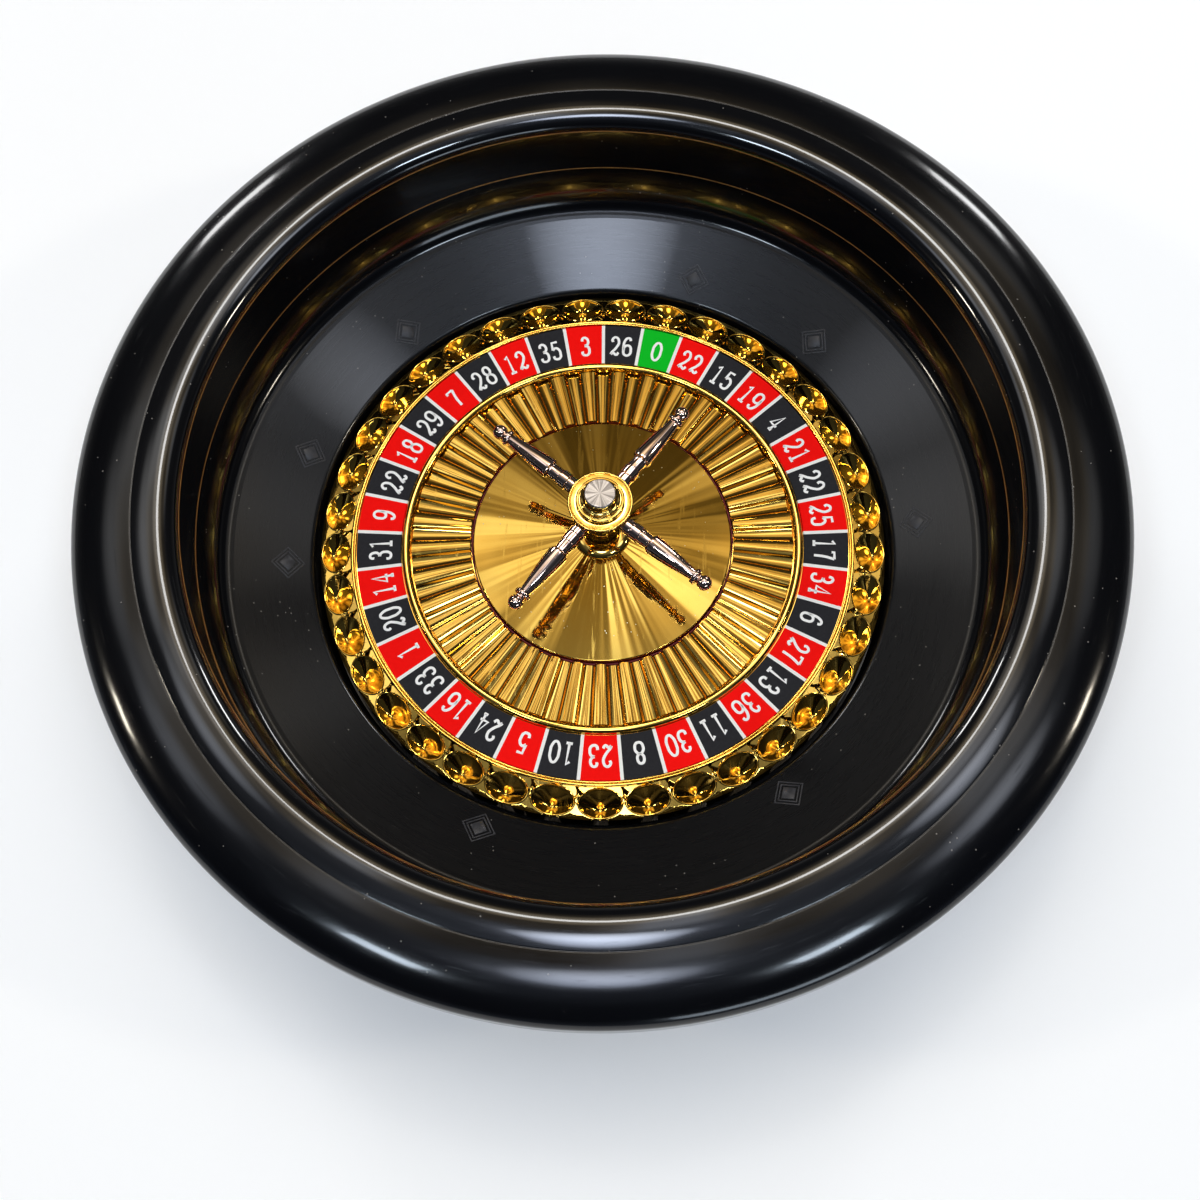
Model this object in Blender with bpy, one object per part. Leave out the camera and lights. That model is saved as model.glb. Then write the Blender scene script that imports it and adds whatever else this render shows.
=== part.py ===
"""Roulette wheel: a moulded bowl with a gold wheel head that spins on a spindle and one ball bearing.

Metres, +Z up. The origin is on the wheel's axis, at the height of the surface that it stands on.
"""

import math

import bmesh
import bpy
from mathutils import Matrix, Vector

MM = 0.001

# Shared by all pieces
GAP = 0.3 * MM  # between neighbours, and at every seat
OVERRUN = 2.0 * MM  # how far a cutter runs past the face it opens
NUMBER_COUNT = 37  # cells, ball cups and ribs

# Feet and base pan
FOOT_COUNT = 6
FOOT_RADIUS = 9.0 * MM
FOOT_HEIGHT = 5.0 * MM
FOOT_CHAMFER = 1.2 * MM
FOOT_INSET = 2.0 * MM  # from the pan's bevel
PAN_WALL = 3.0 * MM
PAN_HOLE_RADIUS = 22.0 * MM  # reaches the spindle's nut
PAN_CORNER = 7.0 * MM  # bevel between the pan's floor and its wall
PAN_SPREAD = 8.0 * MM  # how far the pan's foot stands outside the bowl's inner wall
PAN_INSET = 11.0 * MM  # from the inside of the brim's skirt to the pan's wall

# Bowl, from the well outwards
RUNNING_GAP = 3.0 * MM  # round the wheel head
LIP_ROUND = 4.0 * MM  # at the apron's lower edge
APRON_WIDTH = 39.7 * MM
TRACK_WIDTH = 10.5 * MM
TRACK_UNDERCUT = 1.2 * MM  # the ball track's small step under the inner wall
CREST_WIDTH = 21.0 * MM
CREST_INNER_SHARE = 0.5  # of the crest's width, rounded down to the inner wall
BRIM_WIDTH = 31.0 * MM
SHELL_WALL = 3.0 * MM

# Bowl, from the well's floor upwards
WELL_LIFT = 3.0 * MM  # between the pan's floor and the well's floor
WELL_DEPTH = 23.2 * MM
WELL_CORNER = 2.0 * MM
APRON_RISE = 14.5 * MM
TRACK_RISE = 28.0 * MM
WALL_RISE = 31.0 * MM
CREST_RISE = 7.5 * MM
CREST_FALL = 1.5 * MM  # from the top of the crest to the brim
BRIM_DROP = 12.0 * MM
SKIRT_HEIGHT = 9.0 * MM

# Base screws and their bosses
BASE_SCREW_COUNT = 6
BASE_SCREW_CIRCLE = 110.0 * MM  # radius of the circle they stand on
BASE_SCREW_RADIUS = 2.0 * MM
BASE_SCREW_HEAD_RADIUS = 4.0 * MM
BASE_SCREW_HEAD_HEIGHT = 2.2 * MM
BOSS_RADIUS = 6.0 * MM

# Spindle, its nut and washer
SPINDLE_PIN_RADIUS = 4.0 * MM
SPINDLE_BODY_RADIUS = 5.6 * MM
SPINDLE_FLANGE_RADIUS = 14.0 * MM
SPINDLE_FLANGE_HEIGHT = 3.0 * MM
SPINDLE_TIP = 1.1 * MM  # stands out of the bearing
SPINDLE_CHAMFER = 0.8 * MM
WASHER_RADIUS = 8.5 * MM
WASHER_HEIGHT = 1.6 * MM
NUT_RADIUS = 7.4 * MM  # across corners
NUT_HEIGHT = 4.6 * MM
THREAD_END = 1.2 * MM  # of the spindle, below its nut

# Ball bearing and bush
BEARING_HEIGHT = 7.0 * MM
BEARING_RING_WALL = 1.9 * MM
BEARING_BALL_RADIUS = 1.2 * MM
BEARING_BALL_COUNT = 7
CAGE_WALL = 0.8 * MM
CAGE_HEIGHT = 1.6 * MM
BUSH_HEIGHT = 7.6 * MM

# Wheel head: rotor pan, and the ring of ball cups that lies on the pan's ledge
ROTOR_RADIUS = 144.8 * MM
LIP_STEP = 1.5 * MM  # from the apron's edge down to the head's rim
POCKET_RISE = 3.0 * MM  # from the head's rim up to the number ring
RIM_LAND = 1.0 * MM  # between the cups and the head's edge
CUP_BRIDGE = 2.65 * MM  # between two cups, round the head
CUP_LENGTH = 13.8 * MM  # across the band
CUP_DEPTH = 8.0 * MM
ROTOR_BLOCK_DEPTH = 12.0 * MM  # of the cup band, from the rim down
ROTOR_BLOCK_BEVEL = 4.0 * MM
ROTOR_BLOCK_WIDTH = 22.8 * MM
ROTOR_RIM_CHAMFER = 1.4 * MM
CUP_LEDGE_WIDTH = 3.8 * MM
CUP_LEDGE_HEIGHT = 2.7 * MM
ROTOR_PLATE = 3.5 * MM
ROTOR_CENTRE_RISE = 3.5 * MM  # the thicker middle, which takes the hub's screws
ROTOR_CENTRE_INSET = 8.0 * MM  # from the cone's edge to the thicker middle

# Number ring and bead
NUMBER_WIDTH = 22.8 * MM
NUMBER_THICKNESS = 0.8 * MM
BEAD_WIDTH = 4.5 * MM
BEAD_RISE = 2.2 * MM
POCKET_BAND = 18.5 * MM  # from the number ring's edge to the head's edge
EDGE_BEAD_WIDTH = 2.6 * MM  # the low bead round the number ring
EDGE_BEAD_RISE = 0.8 * MM

# Fluted ring
FLUTE_WIDTH = 30.9 * MM
FLUTE_SEAT_DROP = 4.5 * MM  # from the number ring's top to the ring's seat
FLUTE_OUTER_HEIGHT = 2.6 * MM
FLUTE_INNER_HEIGHT = 5.0 * MM
RIB_HEIGHT = 2.0 * MM
RIB_FOOT_SHARE = 0.62  # of one rib's turn
RIB_TOP_SHARE = 0.5

# Cone
CONE_GAP = 1.3 * MM  # from the ribs' ends to the cone
CONE_EDGE_HEIGHT = 6.6 * MM
CONE_EDGE_ROUND = 0.8 * MM
CONE_RISE = 10.0 * MM  # from the cone's edge to its hole
CONE_WALL = 1.5 * MM

# Hub under the head
HUB_WALL = 3.2 * MM
HUB_FLANGE_RADIUS = 26.0 * MM
HUB_FLANGE_HEIGHT = 4.0 * MM
HUB_FOOT_CLEARANCE = 1.4 * MM  # over the spindle's flange
HUB_BEARING_ROOF = 2.5 * MM  # free height over the bearing
HUB_BEARING_SHOULDER = 4.0 * MM
HUB_ROOF_WALL = 2.0 * MM
HUB_BOSS_RADIUS = 7.9 * MM
HUB_BOSS_STAND = 1.8 * MM  # how far the boss stands out of the cone
HUB_SCREW_COUNT = 4
HUB_SCREW_CIRCLE = 20.3 * MM
HUB_SCREW_RADIUS = 1.6 * MM
HUB_SCREW_HEAD_RADIUS = 3.0 * MM
HUB_SCREW_HEAD_HEIGHT = 2.0 * MM
HUB_SCREW_BITE = 5.0 * MM  # into the rotor pan

# Turret, from the cone upwards
STUD_RADIUS = 3.0 * MM
BASE_RADIUS = 16.0 * MM
BASE_EDGE_HEIGHT = 1.5 * MM
BASE_TOP_RADIUS = 9.6 * MM
BASE_HEIGHT = 1.5 * MM  # over the cone's hole
COLUMN_FOOT_RADIUS = 9.4 * MM
COLUMN_FOOT_HEIGHT = 4.0 * MM
COLUMN_WAIST_RADIUS = 7.6 * MM
COLUMN_TOP_RADIUS = 8.6 * MM
COLUMN_TOP_HEIGHT = 3.0 * MM
COLUMN_HEIGHT = 23.8 * MM
HUB_DISC_RADIUS = 16.0 * MM
HUB_DISC_HEIGHT = 2.0 * MM
HUB_DISC_CHAMFER = 0.7 * MM
HUB_BARREL_RADIUS = 12.4 * MM
HUB_BARREL_CHAMFER = 2.4 * MM
HUB_BARREL_MARGIN = 1.3 * MM  # of the barrel under the handles' collars
TURRET_RING_RADIUS = 12.0 * MM
TURRET_RING_HEIGHT = 2.4 * MM
TURRET_RING_CHAMFER = 1.0 * MM
KNOB_RADIUS = 7.9 * MM
KNOB_HEIGHT = 5.2 * MM
KNOB_FLARE_RADIUS = 9.9 * MM
KNOB_FLARE_HEIGHT = 1.2 * MM
KNOB_ROOF = 2.2 * MM
CAP_INSET = 0.3 * MM  # from the knob's edge to the steel disc
CAP_HEIGHT = 1.0 * MM
CAP_CHAMFER = 0.4 * MM

# Handles
HANDLE_COUNT = 4
HANDLE_TURN = math.radians(51.2)  # of the first handle, anticlockwise from +X
HANDLE_ROOT_RADIUS = 3.7 * MM
HANDLE_ROOT_LENGTH = 6.2 * MM
HANDLE_GROOVE = 0.5 * MM  # depth, and width, of the cut between two collars
HANDLE_COLLAR_RADIUS = 3.5 * MM
HANDLE_COLLAR_LENGTH = 4.6 * MM
HANDLE_NECK_RADIUS = 3.2 * MM
HANDLE_NECK_LENGTH = 7.5 * MM
HANDLE_BARREL_RADIUS = 4.8 * MM
HANDLE_BARREL_LENGTH = 25.4 * MM
HANDLE_SWELL_SHARE = 0.6  # of the barrel's length, out to its middle radius
HANDLE_BARREL_END_RADIUS = 2.8 * MM
HANDLE_RING_RADIUS = 4.2 * MM
HANDLE_RING_LENGTH = 2.6 * MM
HANDLE_BALL_RADIUS = 3.8 * MM
HANDLE_BALL_NECK_RADIUS = 2.3 * MM
HANDLE_BALL_NECK_LENGTH = 0.9 * MM
TENON_RADIUS = 2.0 * MM
TENON_LENGTH = 4.6 * MM

# Rest position of the head: where the cell of zero lies, anticlockwise from +X
ZERO_TURN = math.radians(75.4)

# Segments round each turned piece
BOWL_SEGMENTS = 48
BRIM_STEPS = 5  # along the brim's dome, outside
BRIM_INNER_STEPS = 3
ROTOR_SEGMENTS = 48
CONE_SEGMENTS = 48
TURRET_SEGMENTS = 24
SMALL_SEGMENTS = 16
HANDLE_SEGMENTS = 10
SCREW_SEGMENTS = 10
BALL_SEGMENTS = 6
BALL_RINGS = 4
CUP_SEGMENTS = 10
CUP_RINGS = 6
SMOOTH_TURN = math.radians(35.0)

# Radii that follow from the sizes above
WELL_RADIUS = ROTOR_RADIUS + RUNNING_GAP
TRACK_RADIUS = WELL_RADIUS + APRON_WIDTH
WALL_RADIUS = TRACK_RADIUS + TRACK_WIDTH
BRIM_RADIUS = WALL_RADIUS + CREST_WIDTH
RIM_RADIUS = BRIM_RADIUS + BRIM_WIDTH
PAN_TOP_RADIUS = RIM_RADIUS - SHELL_WALL - PAN_INSET
PAN_BASE_RADIUS = WALL_RADIUS + PAN_SPREAD
FOOT_CIRCLE = PAN_BASE_RADIUS - PAN_CORNER - FOOT_INSET - FOOT_RADIUS
NUMBER_OUTER = ROTOR_RADIUS - POCKET_BAND - GAP
NUMBER_INNER = NUMBER_OUTER - NUMBER_WIDTH
BEAD_OUTER = NUMBER_INNER - GAP
BEAD_INNER = BEAD_OUTER - BEAD_WIDTH
FLUTE_OUTER = BEAD_INNER - GAP
FLUTE_INNER = FLUTE_OUTER - FLUTE_WIDTH
CONE_RADIUS = FLUTE_INNER - CONE_GAP
EDGE_BEAD_OUTER = NUMBER_OUTER + GAP + EDGE_BEAD_WIDTH
CUP_LEDGE_RADIUS = EDGE_BEAD_OUTER + CUP_LEDGE_WIDTH
CUP_CIRCLE = ROTOR_RADIUS - RIM_LAND - CUP_LENGTH / 2
CUP_WIDTH = math.tau * CUP_CIRCLE / NUMBER_COUNT - CUP_BRIDGE  # round the head
SPINDLE_HOLE_RADIUS = SPINDLE_PIN_RADIUS + GAP
INNER_RING_RADIUS = SPINDLE_HOLE_RADIUS + BEARING_RING_WALL
BALL_CIRCLE = INNER_RING_RADIUS + GAP + BEARING_BALL_RADIUS
OUTER_RING_BORE = BALL_CIRCLE + BEARING_BALL_RADIUS + GAP
OUTER_RING_RADIUS = OUTER_RING_BORE + BEARING_RING_WALL
HUB_BORE = OUTER_RING_RADIUS + GAP
HUB_RADIUS = HUB_BORE + HUB_WALL
CONE_HOLE_RADIUS = HUB_BOSS_RADIUS + GAP
STUD_HOLE_RADIUS = STUD_RADIUS + GAP

# Heights that follow from the sizes above
PAN_FLOOR = FOOT_HEIGHT + GAP
PAN_TOP = PAN_FLOOR + PAN_WALL
WELL_UNDERSIDE = PAN_TOP + WELL_LIFT
WELL_FLOOR = WELL_UNDERSIDE + SHELL_WALL
LIP_LEVEL = WELL_FLOOR + WELL_DEPTH
TRACK_LEVEL = LIP_LEVEL + APRON_RISE
WALL_FOOT = TRACK_LEVEL + TRACK_RISE
WALL_TOP = WALL_FOOT + WALL_RISE
CREST_LEVEL = WALL_TOP + CREST_RISE
BRIM_LEVEL = CREST_LEVEL - CREST_FALL
RIM_LEVEL = BRIM_LEVEL - BRIM_DROP
SKIRT_LEVEL = RIM_LEVEL - SKIRT_HEIGHT
ROTOR_LEVEL = LIP_LEVEL - LIP_STEP
NUMBER_LEVEL = ROTOR_LEVEL + POCKET_RISE
NUMBER_SEAT = NUMBER_LEVEL - NUMBER_THICKNESS - GAP
FLUTE_SEAT = NUMBER_LEVEL - FLUTE_SEAT_DROP
CENTRE_LEVEL = FLUTE_SEAT + ROTOR_CENTRE_RISE
ROTOR_UNDERSIDE = FLUTE_SEAT - ROTOR_PLATE
BLOCK_UNDERSIDE = ROTOR_LEVEL - ROTOR_BLOCK_DEPTH
CUP_LEDGE_TOP = BLOCK_UNDERSIDE + CUP_LEDGE_HEIGHT
CONE_EDGE_LEVEL = FLUTE_SEAT + GAP + CONE_EDGE_HEIGHT
CONE_TOP = CONE_EDGE_LEVEL + CONE_RISE
HUB_FLANGE_TOP = ROTOR_UNDERSIDE - GAP
HUB_FLANGE_UNDERSIDE = HUB_FLANGE_TOP - HUB_FLANGE_HEIGHT
HUB_TOP = CONE_TOP + HUB_BOSS_STAND
SPINDLE_FLANGE_UNDERSIDE = WELL_FLOOR + GAP
SPINDLE_FLANGE_TOP = SPINDLE_FLANGE_UNDERSIDE + SPINDLE_FLANGE_HEIGHT
HUB_FOOT = SPINDLE_FLANGE_TOP + HUB_FOOT_CLEARANCE
STUD_FOOT = HUB_TOP - HUB_BOSS_STAND - HUB_BEARING_SHOULDER
HUB_ROOF = STUD_FOOT - GAP - HUB_ROOF_WALL
BEARING_TOP = HUB_ROOF - HUB_BEARING_ROOF - GAP
BEARING_UNDERSIDE = BEARING_TOP - BEARING_HEIGHT
SPINDLE_SHOULDER = BEARING_UNDERSIDE - GAP
COLUMN_UNDERSIDE = HUB_TOP + GAP
COLUMN_TOP = COLUMN_UNDERSIDE + COLUMN_HEIGHT
BARREL_UNDERSIDE = COLUMN_TOP + GAP
HANDLE_LEVEL = BARREL_UNDERSIDE + HUB_BARREL_MARGIN + HANDLE_ROOT_RADIUS
HUB_DISC_UNDERSIDE = HANDLE_LEVEL + HANDLE_ROOT_RADIUS + GAP
HUB_DISC_TOP = HUB_DISC_UNDERSIDE + HUB_DISC_HEIGHT
TURRET_RING_UNDERSIDE = HUB_DISC_TOP + GAP
TURRET_RING_TOP = TURRET_RING_UNDERSIDE + TURRET_RING_HEIGHT
KNOB_UNDERSIDE = TURRET_RING_TOP + GAP
KNOB_TOP = KNOB_UNDERSIDE + KNOB_HEIGHT
CAP_UNDERSIDE = KNOB_TOP + GAP
CAP_TOP = CAP_UNDERSIDE + CAP_HEIGHT
STUD_TOP = KNOB_TOP - KNOB_ROOF - GAP


# Profiles: lists of (radius, height) points
def ellipse_arc(centre, radii, start, end, steps):
    """Points of an ellipse's arc, from the start angle to the end angle in degrees."""
    points = []
    for i in range(steps + 1):
        turn = math.radians(start + (end - start) * i / steps)
        points.append((centre[0] + radii[0] * math.cos(turn), centre[1] + radii[1] * math.sin(turn)))
    return points


def offset_left(path, distance):
    """The path moved to its left by the distance, with mitred corners."""
    sides = []
    for (r0, z0), (r1, z1) in zip(path, path[1:]):
        length = math.hypot(r1 - r0, z1 - z0)
        sides.append(Vector((-(z1 - z0) / length, (r1 - r0) / length)))
    moved = []
    for i, point in enumerate(path):
        before = sides[max(i - 1, 0)]
        after = sides[min(i, len(sides) - 1)]
        middle = (before + after).normalized()
        moved.append(tuple(Vector(point) + middle * distance / middle.dot(after)))
    return moved


def height_on(path, radius):
    """The height of a path at a radius, where the path runs inwards."""
    for (r0, z0), (r1, z1) in zip(path, path[1:]):
        if min(r0, r1) <= radius <= max(r0, r1) and r0 != r1:
            return z0 + (z1 - z0) * (radius - r0) / (r1 - r0)
    return path[-1][1]


def brim_path(steps):
    """The brim from the foot of its skirt over the dome to the top of the crest."""
    crest_radius = WALL_RADIUS + CREST_WIDTH * CREST_INNER_SHARE
    dome = ellipse_arc((BRIM_RADIUS, RIM_LEVEL), (BRIM_WIDTH, BRIM_DROP), 0, 90, steps)
    return [(RIM_RADIUS, SKIRT_LEVEL)] + dome + [(crest_radius, CREST_LEVEL)]


def bowl_path(brim_steps):
    """The bowl's upper surface, from the brim's skirt inwards to the spindle's hole."""
    crest_radius = WALL_RADIUS + CREST_WIDTH * CREST_INNER_SHARE
    crest = ellipse_arc((crest_radius, WALL_TOP), (crest_radius - WALL_RADIUS, CREST_RISE), 120, 180, 2)
    track_centre = (TRACK_RADIUS, WALL_FOOT - TRACK_UNDERCUT)
    track_radii = (TRACK_WIDTH + TRACK_UNDERCUT, TRACK_RISE - TRACK_UNDERCUT)
    track = ellipse_arc(track_centre, track_radii, 0, -90, 4)
    lip_centre = (WELL_RADIUS + LIP_ROUND, LIP_LEVEL - LIP_ROUND)
    lip = ellipse_arc(lip_centre, (LIP_ROUND, LIP_ROUND), 105, 180, 2)
    well = [
        (WELL_RADIUS, WELL_FLOOR + WELL_CORNER),
        (WELL_RADIUS - WELL_CORNER, WELL_FLOOR),
        (SPINDLE_HOLE_RADIUS, WELL_FLOOR),
    ]
    return brim_path(brim_steps) + crest + [(WALL_RADIUS, WALL_FOOT)] + track + lip + well


def band_height(radius):
    """The height at a radius of the band that the ball cups lie in."""
    return ROTOR_LEVEL + (ROTOR_RADIUS - radius) * POCKET_RISE / POCKET_BAND


def cone_height(radius):
    """The height of the cone's outer surface at a radius."""
    slope = CONE_RISE / (CONE_RADIUS - CONE_HOLE_RADIUS)
    return CONE_EDGE_LEVEL + (CONE_RADIUS - radius) * slope


# Building tools
def material(name, colour, roughness, metallic):
    made = bpy.data.materials.new(name)
    made.use_nodes = True
    shader = made.node_tree.nodes["Principled BSDF"]
    shader.inputs["Base Color"].default_value = (*colour, 1)
    shader.inputs["Roughness"].default_value = roughness
    shader.inputs["Metallic"].default_value = metallic
    return made


def finish(name, mesh, look, parent):
    """An object of the mesh, shaded smooth but for its sharp edges."""
    mesh.shade_smooth()
    mesh.set_sharp_from_angle(angle=SMOOTH_TURN)
    made = bpy.data.objects.new(name, mesh)
    made.data.materials.append(look)
    made.parent = parent
    bpy.context.scene.collection.objects.link(made)
    return made


def lathe_mesh(name, profile, segments, closed, axis="Z"):
    """A mesh turned about +Z, or about +X, from a profile. An open profile starts and ends on the axis."""
    shape = bmesh.new()
    if axis == "Z":
        verts = [shape.verts.new((r, 0, z)) for r, z in profile]
    else:
        verts = [shape.verts.new((z, 0, r)) for r, z in profile]
    pairs = list(zip(verts, verts[1:]))
    if closed:
        pairs.append((verts[-1], verts[0]))
    edges = [shape.edges.new(pair) for pair in pairs]
    turn_axis = (0, 0, 1) if axis == "Z" else (1, 0, 0)
    bmesh.ops.spin(
        shape, geom=verts + edges, cent=(0, 0, 0), axis=turn_axis, angle=math.tau, steps=segments,
        use_merge=True,
    )
    bmesh.ops.remove_doubles(shape, verts=shape.verts, dist=GAP / 100)
    bmesh.ops.recalc_face_normals(shape, faces=shape.faces)
    mesh = bpy.data.meshes.new(name)
    shape.to_mesh(mesh)
    shape.free()
    return mesh


def turned(name, profile, look, parent, segments, closed=True):
    return finish(name, lathe_mesh(name, profile, segments, closed), look, parent)


def around(count, start=0.0):
    """Angles evenly spaced round the axis."""
    return [start + math.tau * i / count for i in range(count)]


def cylinder_into(shape, centre, direction, radius, length, segments):
    """Adds a closed cylinder to the bmesh, from the centre of its base along the direction."""
    turn = Vector((0, 0, 1)).rotation_difference(Vector(direction)).to_matrix().to_4x4()
    middle = Vector(centre) + Vector(direction).normalized() * length / 2
    bmesh.ops.create_cone(
        shape, cap_ends=True, segments=segments, radius1=radius, radius2=radius, depth=length,
        matrix=Matrix.Translation(middle) @ turn,
    )


def helper(name, shape):
    """An object that only shapes another one."""
    mesh = bpy.data.meshes.new(name)
    shape.to_mesh(mesh)
    shape.free()
    made = bpy.data.objects.new(name, mesh)
    made.hide_render = True
    made.display_type = "WIRE"
    bpy.context.scene.collection.objects.link(made)
    return made


def ring_of_cylinders(name, count, circle, radius, foot, top, start=0.0):
    """Upright cylinders in a ring, as one helper."""
    shape = bmesh.new()
    for turn in around(count, start):
        centre = (circle * math.cos(turn), circle * math.sin(turn), foot)
        cylinder_into(shape, centre, (0, 0, 1), radius, top - foot, SCREW_SEGMENTS)
    return helper(name, shape)


def combine(target, other, operation):
    change = target.modifiers.new(other.name, "BOOLEAN")
    change.operation = operation
    change.solver = "EXACT"
    change.object = other


def axis_empty(name, parent=None):
    made = bpy.data.objects.new(name, None)
    made.parent = parent
    bpy.context.scene.collection.objects.link(made)
    return made


def screw_profile(radius, head_radius, head_height, length):
    """A pan head screw that points up: its head hangs below zero height."""
    return [
        (0, -head_height),
        (head_radius - GAP, -head_height),
        (head_radius, GAP - head_height),
        (head_radius, 0),
        (radius, 0),
        (radius, length),
        (0, length),
    ]


# The fixed pieces
def build_bowl_shell(look, parent):
    underside = offset_left(bowl_path(BRIM_INNER_STEPS), SHELL_WALL)
    profile = bowl_path(BRIM_STEPS) + underside[::-1]
    shell = turned("bowl_shell", profile, look, parent, BOWL_SEGMENTS)
    boss_top = WELL_UNDERSIDE + SHELL_WALL / 2
    boss_foot = PAN_TOP + GAP
    bosses = ring_of_cylinders(
        "boss_shapes", BASE_SCREW_COUNT, BASE_SCREW_CIRCLE, BOSS_RADIUS, boss_foot, boss_top
    )
    combine(shell, bosses, "UNION")
    holes = ring_of_cylinders(
        "boss_holes", BASE_SCREW_COUNT, BASE_SCREW_CIRCLE, BASE_SCREW_RADIUS + GAP, boss_foot - OVERRUN,
        boss_top,
    )
    combine(shell, holes, "DIFFERENCE")
    return shell


def build_base_pan(look, parent):
    brim_underside = offset_left(brim_path(BRIM_INNER_STEPS), SHELL_WALL)[1:]
    pan_rim = height_on(brim_underside, PAN_TOP_RADIUS) - GAP
    profile = [
        (PAN_TOP_RADIUS, pan_rim),
        (PAN_BASE_RADIUS, PAN_FLOOR + PAN_CORNER),
        (PAN_BASE_RADIUS - PAN_CORNER, PAN_FLOOR),
        (PAN_HOLE_RADIUS, PAN_FLOOR),
        (PAN_HOLE_RADIUS, PAN_TOP),
        (PAN_BASE_RADIUS - PAN_CORNER - PAN_WALL / 2, PAN_TOP),
        (PAN_BASE_RADIUS - PAN_WALL, PAN_FLOOR + PAN_CORNER + PAN_WALL / 2),
        (PAN_TOP_RADIUS - PAN_WALL, pan_rim),
    ]
    pan = turned("base_pan", profile, look, parent, BOWL_SEGMENTS)
    holes = ring_of_cylinders(
        "pan_screw_holes", BASE_SCREW_COUNT, BASE_SCREW_CIRCLE, BASE_SCREW_RADIUS + GAP,
        PAN_FLOOR - OVERRUN, PAN_TOP + OVERRUN,
    )
    combine(pan, holes, "DIFFERENCE")
    return pan


def build_feet(look, parent):
    profile = [
        (0, 0),
        (FOOT_RADIUS - FOOT_CHAMFER, 0),
        (FOOT_RADIUS, FOOT_CHAMFER),
        (FOOT_RADIUS, FOOT_HEIGHT),
        (0, FOOT_HEIGHT),
    ]
    mesh = lathe_mesh("foot", profile, SMALL_SEGMENTS, closed=False)
    for i, turn in enumerate(around(FOOT_COUNT)):
        foot = finish(f"foot_{i + 1}", mesh, look, parent)
        foot.location = (FOOT_CIRCLE * math.cos(turn), FOOT_CIRCLE * math.sin(turn), 0)


def build_base_screws(look, parent):
    length = WELL_UNDERSIDE - PAN_FLOOR + GAP
    profile = screw_profile(BASE_SCREW_RADIUS, BASE_SCREW_HEAD_RADIUS, BASE_SCREW_HEAD_HEIGHT, length)
    mesh = lathe_mesh("base_screw", profile, SCREW_SEGMENTS, closed=False)
    for i, turn in enumerate(around(BASE_SCREW_COUNT)):
        screw = finish(f"base_screw_{i + 1}", mesh, look, parent)
        place = (BASE_SCREW_CIRCLE * math.cos(turn), BASE_SCREW_CIRCLE * math.sin(turn))
        screw.location = (*place, PAN_FLOOR - GAP)


def build_spindle(look, parent):
    washer_top = WELL_UNDERSIDE - GAP
    nut_top = washer_top - WASHER_HEIGHT - GAP
    nut_foot = nut_top - NUT_HEIGHT
    tip = BEARING_TOP + SPINDLE_TIP
    profile = [
        (0, nut_foot - THREAD_END),
        (SPINDLE_PIN_RADIUS, nut_foot - THREAD_END),
        (SPINDLE_PIN_RADIUS, SPINDLE_FLANGE_UNDERSIDE),
        (SPINDLE_FLANGE_RADIUS, SPINDLE_FLANGE_UNDERSIDE),
        (SPINDLE_FLANGE_RADIUS, SPINDLE_FLANGE_TOP),
        (SPINDLE_BODY_RADIUS, SPINDLE_FLANGE_TOP),
        (SPINDLE_BODY_RADIUS, SPINDLE_SHOULDER),
        (SPINDLE_PIN_RADIUS, SPINDLE_SHOULDER),
        (SPINDLE_PIN_RADIUS, tip - SPINDLE_CHAMFER),
        (SPINDLE_PIN_RADIUS - SPINDLE_CHAMFER, tip),
        (0, tip),
    ]
    turned("spindle", profile, look, parent, SMALL_SEGMENTS, closed=False)
    washer = [
        (WASHER_RADIUS, washer_top),
        (WASHER_RADIUS, washer_top - WASHER_HEIGHT),
        (SPINDLE_HOLE_RADIUS, washer_top - WASHER_HEIGHT),
        (SPINDLE_HOLE_RADIUS, washer_top),
    ]
    turned("spindle_washer", washer, look, parent, SMALL_SEGMENTS)
    shape = bmesh.new()
    cylinder_into(shape, (0, 0, nut_foot), (0, 0, 1), NUT_RADIUS, NUT_HEIGHT, 6)
    mesh = bpy.data.meshes.new("spindle_nut")
    shape.to_mesh(mesh)
    shape.free()
    nut = finish("spindle_nut", mesh, look, parent)
    bore = bmesh.new()
    cylinder_into(
        bore, (0, 0, nut_foot - OVERRUN), (0, 0, 1), SPINDLE_HOLE_RADIUS, NUT_HEIGHT + 2 * OVERRUN,
        SMALL_SEGMENTS,
    )
    combine(nut, helper("nut_bore", bore), "DIFFERENCE")


def ring_profile(inner, outer, foot, top):
    return [(outer, top), (outer, foot), (inner, foot), (inner, top)]


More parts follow.
